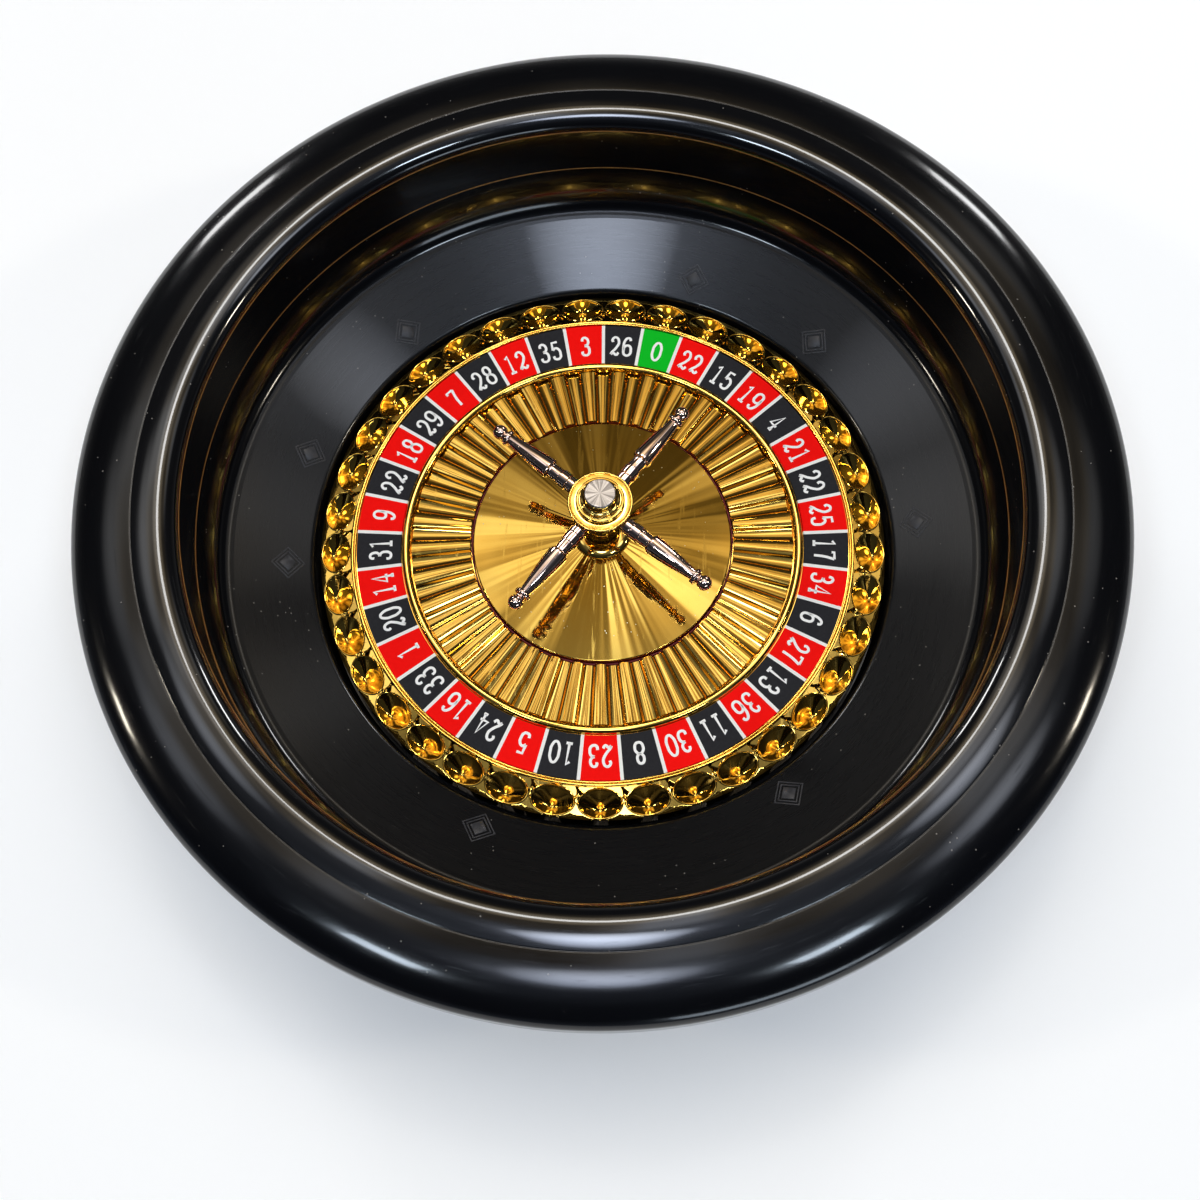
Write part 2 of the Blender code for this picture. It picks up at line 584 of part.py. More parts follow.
def build_bearing(look, cage_look, bowl, head, cage_axis):
    inner = ring_profile(SPINDLE_HOLE_RADIUS, INNER_RING_RADIUS, BEARING_UNDERSIDE, BEARING_TOP)
    turned("bearing_inner_ring", inner, look, bowl, SMALL_SEGMENTS)
    outer = ring_profile(OUTER_RING_BORE, OUTER_RING_RADIUS, BEARING_UNDERSIDE, BEARING_TOP)
    turned("bearing_outer_ring", outer, look, head, SMALL_SEGMENTS)
    middle = (BEARING_UNDERSIDE + BEARING_TOP) / 2
    band = ring_profile(
        BALL_CIRCLE - CAGE_WALL / 2, BALL_CIRCLE + CAGE_WALL / 2, middle - CAGE_HEIGHT / 2,
        middle + CAGE_HEIGHT / 2,
    )
    cage = turned("bearing_cage", band, cage_look, cage_axis, BEARING_BALL_COUNT * 3)
    balls = bmesh.new()
    for turn in around(BEARING_BALL_COUNT):
        place = (BALL_CIRCLE * math.cos(turn), BALL_CIRCLE * math.sin(turn), middle)
        bmesh.ops.create_uvsphere(
            balls, u_segments=BALL_SEGMENTS, v_segments=BALL_RINGS, radius=BEARING_BALL_RADIUS,
            matrix=Matrix.Translation(place),
        )
    combine(cage, helper("bearing_ball_shapes", balls), "UNION")


# The pieces that turn
def build_rotor_pan(look, parent):
    bead_centre = ((BEAD_OUTER + BEAD_INNER) / 2, NUMBER_LEVEL)
    bead = ellipse_arc(bead_centre, (BEAD_WIDTH / 2, BEAD_RISE), 0, 180, 4)
    block_inner = ROTOR_RADIUS - ROTOR_BLOCK_WIDTH
    centre_edge = CONE_RADIUS - ROTOR_CENTRE_INSET
    profile = [
        (CUP_LEDGE_RADIUS, CUP_LEDGE_TOP),
        (EDGE_BEAD_OUTER, CUP_LEDGE_TOP),
        (EDGE_BEAD_OUTER, band_height(EDGE_BEAD_OUTER)),
        (EDGE_BEAD_OUTER - EDGE_BEAD_RISE, NUMBER_LEVEL + EDGE_BEAD_RISE),
        (NUMBER_OUTER + GAP, NUMBER_LEVEL + EDGE_BEAD_RISE),
        (NUMBER_OUTER + GAP, NUMBER_SEAT),
        (BEAD_OUTER, NUMBER_SEAT),
        *bead,
        (BEAD_INNER, FLUTE_SEAT),
        (centre_edge, FLUTE_SEAT),
        (centre_edge - ROTOR_CENTRE_RISE, CENTRE_LEVEL),
        (HUB_RADIUS + GAP, CENTRE_LEVEL),
        (HUB_RADIUS + GAP, ROTOR_UNDERSIDE),
        (block_inner - ROTOR_BLOCK_BEVEL, ROTOR_UNDERSIDE),
        (block_inner, BLOCK_UNDERSIDE),
        (CUP_LEDGE_RADIUS, BLOCK_UNDERSIDE),
    ]
    pan = turned("rotor_pan", profile, look, parent, ROTOR_SEGMENTS)
    holes = ring_of_cylinders(
        "rotor_screw_holes", HUB_SCREW_COUNT, HUB_SCREW_CIRCLE, HUB_SCREW_RADIUS + GAP,
        ROTOR_UNDERSIDE - OVERRUN, ROTOR_UNDERSIDE + HUB_SCREW_BITE + GAP,
    )
    combine(pan, holes, "DIFFERENCE")


def build_cup_ring(look, parent):
    inner = EDGE_BEAD_OUTER + GAP
    ledge = (CUP_LEDGE_RADIUS + GAP, CUP_LEDGE_TOP + GAP)
    profile = [
        (ROTOR_RADIUS, ROTOR_LEVEL),
        (inner, band_height(inner)),
        (inner, ledge[1]),
        ledge,
        (ledge[0], BLOCK_UNDERSIDE),
        (ROTOR_RADIUS - ROTOR_RIM_CHAMFER, BLOCK_UNDERSIDE),
        (ROTOR_RADIUS, BLOCK_UNDERSIDE + ROTOR_RIM_CHAMFER),
    ]
    ring = turned("cup_ring", profile, look, parent, ROTOR_SEGMENTS)
    cups = bmesh.new()
    tilt = Matrix.Rotation(math.atan(POCKET_RISE / POCKET_BAND), 4, "Y")
    size = Matrix.Diagonal((CUP_LENGTH / 2, CUP_WIDTH / 2, CUP_DEPTH, 1))
    shift = Matrix.Translation((CUP_CIRCLE, 0, band_height(CUP_CIRCLE)))
    for turn in around(NUMBER_COUNT, ZERO_TURN):
        place = Matrix.Rotation(turn, 4, "Z") @ shift
        bmesh.ops.create_uvsphere(
            cups, u_segments=CUP_SEGMENTS, v_segments=CUP_RINGS, radius=1, matrix=place @ tilt @ size
        )
    combine(ring, helper("cup_shapes", cups), "DIFFERENCE")


def build_number_ring(look, parent):
    profile = ring_profile(NUMBER_INNER, NUMBER_OUTER, NUMBER_LEVEL - NUMBER_THICKNESS, NUMBER_LEVEL)
    return turned("number_ring", profile, look, parent, ROTOR_SEGMENTS)


def build_fluted_ring(look, parent):
    """Turned in alternate steps of a rib's foot and a groove, then each rib is drawn up."""
    foot = FLUTE_SEAT + GAP
    inner_level = foot + FLUTE_INNER_HEIGHT
    outer_level = foot + FLUTE_OUTER_HEIGHT
    profile = [
        (FLUTE_OUTER, foot),
        (FLUTE_OUTER, outer_level),
        (FLUTE_INNER, inner_level),
        (FLUTE_INNER, foot),
    ]
    pitch = math.tau / NUMBER_COUNT
    shape = bmesh.new()
    verts = [shape.verts.new((r, 0, z)) for r, z in profile]
    section = verts + [shape.edges.new(pair) for pair in zip(verts, verts[1:] + verts[:1])]
    steps = [pitch * RIB_FOOT_SHARE, pitch * (1 - RIB_FOOT_SHARE)] * NUMBER_COUNT
    for step in steps:
        turned_on = bmesh.ops.spin(shape, geom=section, cent=(0, 0, 0), axis=(0, 0, 1), angle=step, steps=1)
        section = turned_on["geom_last"]
    bmesh.ops.remove_doubles(shape, verts=shape.verts, dist=GAP / 100)
    bmesh.ops.recalc_face_normals(shape, faces=shape.faces)
    ribs = []
    for face in shape.faces:
        centre = face.calc_center_median()
        part = (math.atan2(centre.y, centre.x) / pitch) % 1
        if face.normal.z > 0.5 and part < RIB_FOOT_SHARE:
            ribs.append(face)
    drawn = bmesh.ops.extrude_discrete_faces(shape, faces=ribs)
    for face in drawn["faces"]:
        centre = face.calc_center_median()
        middle = math.atan2(centre.y, centre.x)
        for vert in face.verts:
            radius = math.hypot(vert.co.x, vert.co.y)
            off = (math.atan2(vert.co.y, vert.co.x) - middle + math.pi) % math.tau - math.pi
            turn = middle + off * RIB_TOP_SHARE / RIB_FOOT_SHARE
            vert.co = (radius * math.cos(turn), radius * math.sin(turn), vert.co.z + RIB_HEIGHT)
    mesh = bpy.data.meshes.new("fluted_ring")
    shape.to_mesh(mesh)
    shape.free()
    ring = finish("fluted_ring", mesh, look, parent)
    ring.rotation_euler.z = ZERO_TURN - pitch * RIB_FOOT_SHARE / 2
    return ring


def build_cone(look, parent):
    foot = FLUTE_SEAT + GAP
    inside = CONE_RADIUS - CONE_WALL
    profile = [
        (CONE_HOLE_RADIUS, cone_height(CONE_HOLE_RADIUS)),
        (CONE_RADIUS - CONE_EDGE_ROUND, cone_height(CONE_RADIUS - CONE_EDGE_ROUND)),
        (CONE_RADIUS, cone_height(CONE_RADIUS) - CONE_EDGE_ROUND),
        (CONE_RADIUS, foot),
        (inside, foot),
        (inside, cone_height(inside) - CONE_WALL - CONE_EDGE_ROUND),
        (CONE_HOLE_RADIUS, cone_height(CONE_HOLE_RADIUS) - CONE_WALL),
    ]
    return turned("rotor_cone", profile, look, parent, CONE_SEGMENTS)


def build_hub(look, screw_look, bush_look, parent):
    shoulder = cone_height(HUB_RADIUS) - CONE_WALL - CONE_EDGE_ROUND - GAP
    bearing_seat = BEARING_TOP + GAP
    roof_radius = INNER_RING_RADIUS + GAP
    profile = [
        (0, HUB_ROOF),
        (roof_radius, HUB_ROOF),
        (roof_radius, bearing_seat),
        (HUB_BORE, bearing_seat),
        (HUB_BORE, HUB_FOOT),
        (HUB_RADIUS, HUB_FOOT),
        (HUB_RADIUS, HUB_FLANGE_UNDERSIDE),
        (HUB_FLANGE_RADIUS, HUB_FLANGE_UNDERSIDE),
        (HUB_FLANGE_RADIUS, HUB_FLANGE_TOP),
        (HUB_RADIUS, HUB_FLANGE_TOP),
        (HUB_RADIUS, shoulder),
        (HUB_BOSS_RADIUS, shoulder),
        (HUB_BOSS_RADIUS, HUB_TOP),
        (STUD_HOLE_RADIUS, HUB_TOP),
        (STUD_HOLE_RADIUS, STUD_FOOT - GAP),
        (0, STUD_FOOT - GAP),
    ]
    hub = turned("rotor_hub", profile, look, parent, SMALL_SEGMENTS, closed=False)
    holes = ring_of_cylinders(
        "hub_screw_holes", HUB_SCREW_COUNT, HUB_SCREW_CIRCLE, HUB_SCREW_RADIUS + GAP,
        HUB_FLANGE_UNDERSIDE - OVERRUN, HUB_FLANGE_TOP + OVERRUN,
    )
    combine(hub, holes, "DIFFERENCE")
    length = ROTOR_UNDERSIDE + HUB_SCREW_BITE - HUB_FLANGE_UNDERSIDE + GAP
    screw = screw_profile(HUB_SCREW_RADIUS, HUB_SCREW_HEAD_RADIUS, HUB_SCREW_HEAD_HEIGHT, length)
    mesh = lathe_mesh("hub_screw", screw, SCREW_SEGMENTS, closed=False)
    for i, turn in enumerate(around(HUB_SCREW_COUNT)):
        piece = finish(f"hub_screw_{i + 1}", mesh, screw_look, parent)
        place = (HUB_SCREW_CIRCLE * math.cos(turn), HUB_SCREW_CIRCLE * math.sin(turn))
        piece.location = (*place, HUB_FLANGE_UNDERSIDE - GAP)
    bush_foot = HUB_FOOT + GAP
    bush = ring_profile(SPINDLE_BODY_RADIUS + GAP, HUB_BORE - GAP, bush_foot, bush_foot + BUSH_HEIGHT)
    turned("hub_bush", bush, bush_look, parent, SMALL_SEGMENTS)


def build_turret(gold, steel, brushed, parent):
    stud = [(0, STUD_FOOT), (STUD_RADIUS, STUD_FOOT), (STUD_RADIUS, STUD_TOP), (0, STUD_TOP)]
    turned("turret_stud", stud, steel, parent, SCREW_SEGMENTS, closed=False)

    bore = HUB_BOSS_RADIUS + GAP
    edge = cone_height(BASE_RADIUS) + GAP
    base = [
        (bore, CONE_TOP + BASE_HEIGHT),
        (BASE_TOP_RADIUS, CONE_TOP + BASE_HEIGHT),
        (BASE_RADIUS, edge + BASE_EDGE_HEIGHT),
        (BASE_RADIUS, edge),
        (bore, cone_height(bore) + GAP),
    ]
    turned("turret_base", base, gold, parent, TURRET_SEGMENTS)

    column = [
        (STUD_HOLE_RADIUS, COLUMN_TOP),
        (COLUMN_TOP_RADIUS, COLUMN_TOP),
        (COLUMN_WAIST_RADIUS, COLUMN_TOP - COLUMN_TOP_HEIGHT),
        (COLUMN_WAIST_RADIUS, COLUMN_UNDERSIDE + COLUMN_FOOT_HEIGHT),
        (COLUMN_FOOT_RADIUS, COLUMN_UNDERSIDE),
        (STUD_HOLE_RADIUS, COLUMN_UNDERSIDE),
    ]
    turned("turret_column", column, gold, parent, TURRET_SEGMENTS)

    disc = [
        (STUD_HOLE_RADIUS, HUB_DISC_TOP),
        (HUB_DISC_RADIUS - HUB_DISC_CHAMFER, HUB_DISC_TOP),
        (HUB_DISC_RADIUS, HUB_DISC_TOP - HUB_DISC_CHAMFER),
        (HUB_DISC_RADIUS, HUB_DISC_UNDERSIDE),
        (HUB_BARREL_RADIUS, HUB_DISC_UNDERSIDE),
        (HUB_BARREL_RADIUS, BARREL_UNDERSIDE + HUB_BARREL_MARGIN),
        (HUB_BARREL_RADIUS - HUB_BARREL_CHAMFER, BARREL_UNDERSIDE),
        (STUD_HOLE_RADIUS, BARREL_UNDERSIDE),
    ]
    hub = turned("turret_hub", disc, gold, parent, TURRET_SEGMENTS)
    sockets = bmesh.new()
    for turn in around(HANDLE_COUNT, HANDLE_TURN):
        direction = Vector((math.cos(turn), math.sin(turn), 0))
        start = direction * (HUB_BARREL_RADIUS - TENON_LENGTH) + Vector((0, 0, HANDLE_LEVEL))
        cylinder_into(
            sockets, start, direction, TENON_RADIUS + GAP, TENON_LENGTH + OVERRUN, SCREW_SEGMENTS
        )
    combine(hub, helper("socket_shapes", sockets), "DIFFERENCE")

    ring = [
        (STUD_HOLE_RADIUS, TURRET_RING_TOP),
        (TURRET_RING_RADIUS - TURRET_RING_CHAMFER, TURRET_RING_TOP),
        (TURRET_RING_RADIUS, TURRET_RING_TOP - TURRET_RING_CHAMFER),
        (TURRET_RING_RADIUS, TURRET_RING_UNDERSIDE),
        (STUD_HOLE_RADIUS, TURRET_RING_UNDERSIDE),
    ]
    turned("turret_ring", ring, gold, parent, TURRET_SEGMENTS)

    flare_rise = KNOB_FLARE_RADIUS - KNOB_RADIUS
    knob = [
        (0, KNOB_TOP),
        (KNOB_RADIUS, KNOB_TOP),
        (KNOB_RADIUS, KNOB_UNDERSIDE + KNOB_FLARE_HEIGHT + flare_rise / 2),
        (KNOB_FLARE_RADIUS, KNOB_UNDERSIDE + KNOB_FLARE_HEIGHT),
        (KNOB_FLARE_RADIUS, KNOB_UNDERSIDE),
        (STUD_HOLE_RADIUS, KNOB_UNDERSIDE),
        (STUD_HOLE_RADIUS, STUD_TOP + GAP),
        (0, STUD_TOP + GAP),
    ]
    turned("turret_knob", knob, gold, parent, TURRET_SEGMENTS, closed=False)

    cap_radius = KNOB_RADIUS - CAP_INSET
    cap = [
        (0, CAP_TOP),
        (cap_radius - CAP_CHAMFER, CAP_TOP),
        (cap_radius, CAP_TOP - CAP_CHAMFER),
        (cap_radius, CAP_UNDERSIDE),
        (0, CAP_UNDERSIDE),
    ]
    turned("knob_cap", cap, brushed, parent, TURRET_SEGMENTS, closed=False)


def handle_profile():
    """Points (radius, distance from the wheel's axis), from the tenon's end to the ball's tip."""
    root = HUB_BARREL_RADIUS + GAP
    tenon_end = HUB_BARREL_RADIUS - TENON_LENGTH + GAP
    points = [(0, tenon_end), (TENON_RADIUS, tenon_end), (TENON_RADIUS, root)]
    place = root
    collars = (
        (HANDLE_ROOT_RADIUS, HANDLE_ROOT_LENGTH),
        (HANDLE_COLLAR_RADIUS, HANDLE_COLLAR_LENGTH),
    )
    for radius, length in collars:
        points += [(radius, place), (radius, place + length)]
        place += length
        groove = radius - HANDLE_GROOVE
        points += [(groove, place), (groove, place + HANDLE_GROOVE)]
        place += HANDLE_GROOVE
    points += [(HANDLE_NECK_RADIUS, place), (HANDLE_NECK_RADIUS, place + HANDLE_NECK_LENGTH)]
    place += HANDLE_NECK_LENGTH
    swell = (HANDLE_BARREL_RADIUS + HANDLE_BARREL_END_RADIUS) / 2
    points += [
        (HANDLE_BARREL_RADIUS, place),
        (swell, place + HANDLE_BARREL_LENGTH * HANDLE_SWELL_SHARE),
        (HANDLE_BARREL_END_RADIUS, place + HANDLE_BARREL_LENGTH),
    ]
    place += HANDLE_BARREL_LENGTH
    points += [(HANDLE_RING_RADIUS, place), (HANDLE_RING_RADIUS, place + HANDLE_RING_LENGTH)]
    place += HANDLE_RING_LENGTH
    points += [(HANDLE_BALL_NECK_RADIUS, place), (HANDLE_BALL_NECK_RADIUS, place + HANDLE_BALL_NECK_LENGTH)]
    sunk = math.sqrt(HANDLE_BALL_RADIUS**2 - HANDLE_BALL_NECK_RADIUS**2)
    centre = place + HANDLE_BALL_NECK_LENGTH + sunk
    neck_turn = math.degrees(math.asin(HANDLE_BALL_NECK_RADIUS / HANDLE_BALL_RADIUS))
    ball = ellipse_arc((centre, 0), (HANDLE_BALL_RADIUS, HANDLE_BALL_RADIUS), 180 - neck_turn, 0, 5)
    points += [(radius, along) for along, radius in ball[1:-1]]
    return points + [(0, centre + HANDLE_BALL_RADIUS)]


def build_handles(look, parent):
    mesh = lathe_mesh("turret_handle", handle_profile(), HANDLE_SEGMENTS, closed=False, axis="X")
    for i, turn in enumerate(around(HANDLE_COUNT, HANDLE_TURN)):
        handle = finish(f"turret_handle_{i + 1}", mesh, look, parent)
        handle.location = (0, 0, HANDLE_LEVEL)
        handle.rotation_euler.z = turn


def main():
    for leftover in list(bpy.data.objects):
        bpy.data.objects.remove(leftover)

    black = material("black_plastic", (0.012, 0.012, 0.014), 0.22, 0.0)
    dark = material("pan_plastic", (0.02, 0.02, 0.02), 0.5, 0.0)
    rubber = material("foot_rubber", (0.03, 0.03, 0.03), 0.85, 0.0)
    steel = material("bright_steel", (0.6, 0.6, 0.6), 0.3, 1.0)
    brushed = material("brushed_steel", (0.62, 0.6, 0.58), 0.28, 1.0)
    gold = material("gold_plating", (0.83, 0.6, 0.13), 0.12, 1.0)
    cone_gold = material("polished_gold", (0.86, 0.66, 0.2), 0.07, 1.0)
    rose = material("rose_chrome", (0.76, 0.62, 0.55), 0.1, 1.0)
    cells = material("number_print", (0.6, 0.03, 0.03), 0.35, 0.0)
    cast = material("hub_alloy", (0.45, 0.45, 0.46), 0.45, 1.0)
    nylon = material("bush_nylon", (0.75, 0.74, 0.68), 0.5, 0.0)

    bowl = axis_empty("bowl_frame")
    head = axis_empty("rotor_axis", bowl)
    cage_axis = axis_empty("cage_axis", bowl)

    build_bowl_shell(black, bowl)
    build_base_pan(dark, bowl)
    build_feet(rubber, bowl)
    build_base_screws(steel, bowl)
    build_spindle(steel, bowl)
    build_bearing(steel, brushed, bowl, head, cage_axis)
    build_rotor_pan(gold, head)
    build_cup_ring(gold, head)
    build_number_ring(cells, head)
    build_fluted_ring(gold, head)
    build_cone(cone_gold, head)
    build_hub(cast, steel, nylon, head)
    build_turret(gold, steel, brushed, head)
    build_handles(rose, head)


main()
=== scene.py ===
# %% [markdown]
# # A moulded roulette wheel
# The object is a glossy black bowl with a gold wheel head that spins in it.
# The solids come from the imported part. They are exact but coarse, so here each visible piece
# is turned again with many more steps, and gets the finish that the real one has.

# %% Load the frame
import math

import bpy
from mathutils import Matrix, Vector


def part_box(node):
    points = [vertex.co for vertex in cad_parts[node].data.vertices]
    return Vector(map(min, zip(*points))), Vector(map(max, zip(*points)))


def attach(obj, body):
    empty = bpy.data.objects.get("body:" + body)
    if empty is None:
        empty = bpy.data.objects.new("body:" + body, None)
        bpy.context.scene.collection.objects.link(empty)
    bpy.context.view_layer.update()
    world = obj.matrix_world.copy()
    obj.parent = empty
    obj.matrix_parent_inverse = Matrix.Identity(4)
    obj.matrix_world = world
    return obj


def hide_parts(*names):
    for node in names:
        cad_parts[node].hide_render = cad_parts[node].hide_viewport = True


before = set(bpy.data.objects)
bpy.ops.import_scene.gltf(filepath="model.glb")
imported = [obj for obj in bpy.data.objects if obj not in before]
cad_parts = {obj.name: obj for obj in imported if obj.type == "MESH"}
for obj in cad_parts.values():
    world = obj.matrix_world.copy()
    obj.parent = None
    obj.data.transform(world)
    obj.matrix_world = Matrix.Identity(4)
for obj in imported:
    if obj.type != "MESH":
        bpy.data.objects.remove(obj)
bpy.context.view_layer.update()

MM = 0.001

# %% [markdown]
# ## Working in edit mode from a script
# Blender's operators act on all that is selected, so each step starts by selecting one object,
# and then the faces or edges that it shapes are found by their place.

# %% Picking helpers
def pick(*objects):
    """Only these objects are selected, and the last one is active."""
    bpy.ops.object.select_all(action="DESELECT")
    for obj in objects:
        obj.select_set(True)
        bpy.context.view_layer.objects.active = obj


def choose(obj, kind, test):
    """Goes into edit mode with only the faces, edges or vertices selected whose middle passes the test."""
    pick(obj)
    bpy.ops.object.mode_set(mode="EDIT")
    bpy.ops.mesh.select_mode(type=kind)
    bpy.ops.mesh.select_all(action="DESELECT")
    bpy.ops.object.mode_set(mode="OBJECT")
    mesh = obj.data
    if kind == "FACE":
        for face in mesh.polygons:
            face.select = test(face.center)
    elif kind == "EDGE":
        for edge in mesh.edges:
            ends = [mesh.vertices[i].co for i in edge.vertices]
            edge.select = test((ends[0] + ends[1]) / 2)
    else:
        for vert in mesh.vertices:
            vert.select = test(vert.co)
    bpy.ops.object.mode_set(mode="EDIT")


def weld(obj):
    """Doubled points become one, and every face looks outwards."""
    pick(obj)
    bpy.ops.object.mode_set(mode="EDIT")
    bpy.ops.mesh.select_mode(type="VERT")
    bpy.ops.mesh.select_all(action="SELECT")
    bpy.ops.mesh.remove_doubles(threshold=0.002 * MM)
    bpy.ops.mesh.normals_make_consistent(inside=False)
    bpy.ops.object.mode_set(mode="OBJECT")


def apply_modifier(obj, kind, **settings):
    """Adds a modifier with these settings and applies it."""
    pick(obj)
    modifier = obj.modifiers.new(kind.title(), kind)
    for name, value in settings.items():
        setattr(modifier, name, value)
    bpy.ops.object.modifier_apply(modifier=modifier.name)


def smooth(obj, angle=32):
    pick(obj)
    bpy.ops.object.shade_smooth_by_angle(angle=math.radians(angle), keep_sharp_edges=True)


# %% [markdown]
# ## Turning
# Nearly every piece of a roulette wheel is round about one axis, as if made on a lathe.
# So a profile is drawn as a chain of edges, one extruded point after another, and spun round
# the axis. A Bevel modifier then breaks the sharp corners, as a real edge is never perfectly
# sharp and it is that small round that catches the light.

# %% Profile and lathe
def arc(centre, radii, start, end, steps):
    """Points of an ellipse's arc, with angles in degrees."""
    points = []
    for i in range(steps + 1):
        turn = math.radians(start + (end - start) * i / steps)
        points.append((centre[0] + radii[0] * math.cos(turn), centre[1] + radii[1] * math.sin(turn)))
    return points


def draw_profile(name, points):
    """A chain of edges through (radius, height) points in millimetres."""
    corners = [Vector((radius, 0, height)) * MM for radius, height in points]
    bpy.ops.object.select_all(action="DESELECT")
    bpy.ops.mesh.primitive_plane_add(size=MM)
    chain = bpy.context.object
    chain.name = chain.data.name = name
    bpy.ops.object.mode_set(mode="EDIT")
    bpy.ops.mesh.select_mode(type="VERT")
    bpy.ops.mesh.merge(type="CENTER")
    bpy.ops.transform.translate(value=corners[0])
    for before, after in zip(corners, corners[1:]):
        bpy.ops.mesh.extrude_vertices_move(TRANSFORM_OT_translate={"value": after - before})
    bpy.ops.object.mode_set(mode="OBJECT")
    return chain


def turn_piece(name, points, steps, closed=True, edge=0.0, edge_steps=2, axis=(0, 0, 1)):
    """A piece turned from a profile. Edge is the width of the round on its sharp corners, in mm."""
    loop = points + points[:1] if closed else points
    piece = draw_profile(name, loop)
    bpy.ops.object.mode_set(mode="EDIT")
    bpy.ops.mesh.select_all(action="SELECT")
    bpy.ops.mesh.spin(steps=steps, angle=math.tau, center=(0, 0, 0), axis=axis)
    bpy.ops.object.mode_set(mode="OBJECT")
    weld(piece)
    if edge:
        apply_modifier(
            piece, "BEVEL", width=edge * MM, segments=edge_steps, limit_method="ANGLE",
            angle_limit=math.radians(30),
        )
    smooth(piece)
    apply_modifier(piece, "WEIGHTED_NORMAL", keep_sharp=True)
    return piece


def offset_left(path, distance):
    """The path moved to its left by the distance, with mitred corners."""
    sides = []
    for (r0, z0), (r1, z1) in zip(path, path[1:]):
        length = math.hypot(r1 - r0, z1 - z0)
        sides.append(Vector((-(z1 - z0) / length, (r1 - r0) / length)))
    moved = []
    for i, point in enumerate(path):
        before = sides[max(i - 1, 0)]
        after = sides[min(i, len(sides) - 1)]
        middle = (before + after).normalized()
        moved.append(tuple(Vector(point) + middle * distance / middle.dot(after)))
    return moved


# %% [markdown]
# ## Shader maths as Python
# A material is a net of nodes. To write `1 - mask * 2` and get the Math nodes for it, a small
# class wraps a socket and gives it Python's own operators. Any other node comes from one method.

# %% Wires and finishes
class Wire:
    """A socket of a material that can be added, subtracted, multiplied and compared."""

    def __init__(self, finish, socket):
        self.finish = finish
        self.socket = socket

    def maths(self, operation, *others):
        inputs = dict(enumerate((self, *others)))
        return self.finish.node("ShaderNodeMath", {"operation": operation}, inputs)

    def __add__(self, other):
        return self.maths("ADD", other)

    __radd__ = __add__

    def __sub__(self, other):
        return self.maths("SUBTRACT", other)

    def __rsub__(self, other):
        return (self * -1) + other

    def __mul__(self, other):
        return self.maths("MULTIPLY", other)

    __rmul__ = __mul__

    def __truediv__(self, other):
        return self.maths("DIVIDE", other)

    def __gt__(self, other):
        return self.maths("GREATER_THAN", other)

    def __lt__(self, other):
        return self.maths("LESS_THAN", other)


class Net:
    """A net of nodes under construction."""

    def __init__(self, tree):
        self.tree = tree

    def node(self, kind, settings=None, inputs=None, output=0):
        """Adds a node: its settings first, then the values or links of its sockets."""
        made = self.tree.nodes.new(kind)
        for name, value in (settings or {}).items():
            if name == "stops":
                self.set_stops(made.color_ramp, value)
            else:
                setattr(made, name, value)
        for name, value in (inputs or {}).items():
            self.feed(made.inputs[name], value)
        return Wire(self, made.outputs[output])

    def set_stops(self, ramp, stops):
        """Stops are (place, grey level) pairs."""
        while len(ramp.elements) < len(stops):
            ramp.elements.new(0.5)
        for element, (place, level) in zip(ramp.elements, stops):
            element.position = place
            element.color = (level, level, level, 1)

    def feed(self, socket, value):
        if isinstance(value, Wire):
            self.tree.links.new(value.socket, socket)
        else:
            socket.default_value = value

    def ramp(self, value, *stops):
        """The value led through a curve of (place, level) stops."""
        return self.node("ShaderNodeValToRGB", {"stops": stops}, {"Fac": value})

    def blend(self, factor, first, second):
        """The first colour where the factor is 0 and the second where it is 1."""
        mix = self.tree.nodes.new("ShaderNodeMix")
        mix.data_type = "RGBA"
        for place, value in ((0, factor), (6, first), (7, second)):
            self.feed(mix.inputs[place], value)
        return Wire(self, mix.outputs[2])


class Finish(Net):
    """A material under construction, with its Principled shader."""

    def __init__(self, name, **uniform):
        self.material = bpy.data.materials.new(name)
        self.material.use_nodes = True
        super().__init__(self.material.node_tree)
        self.shader = self.tree.nodes["Principled BSDF"]
        for socket, value in uniform.items():
            self.shader.inputs[socket.replace("_", " ")].default_value = value

    def set(self, socket, value):
        self.feed(self.shader.inputs[socket], value)

    def place(self):
        """The point on the surface, in metres."""
        return self.node("ShaderNodeTexCoord", output="Object")

    def noise(self, scale, detail=3, stretch=(1, 1, 1), vector=None):
        """Clouds between 0 and 1, about one per 1/scale metres, stretched along the axes."""
        point = vector or self.place()
        mapped = self.node("ShaderNodeMapping", inputs={"Vector": point, "Scale": stretch})
        return self.node("ShaderNodeTexNoise", inputs={"Vector": mapped, "Scale": scale, "Detail": detail})

    def bump(self, height, distance, strength=1.0, normal=None):
        """Raises the surface by height times distance, in metres."""
        inputs = {"Height": height, "Distance": distance, "Strength": strength}
        if normal:
            inputs["Normal"] = normal
        made = self.node("ShaderNodeBump", inputs=inputs)
        self.set("Normal", made)
        return made

    def polar(self):
        """(distance from the wheel's axis, angle round it, height)."""
        parts = self.tree.nodes.new("ShaderNodeSeparateXYZ")
        self.feed(parts.inputs[0], self.place())
        x, y, z = (Wire(self, parts.outputs[i]) for i in range(3))
        radius = (x * x + y * y).maths("SQRT")
        return radius, y.maths("ARCTAN2", x), z

    def ringwise(self, across, along):
        """A vector for marks that run round the axis: across is per metre, along is per radian."""
        radius, turn, height = self.polar()
        return self.node("ShaderNodeCombineXYZ", inputs={
            "X": (radius + height) * across, "Y": turn.maths("COSINE") * along, "Z": turn.maths("SINE") * along})


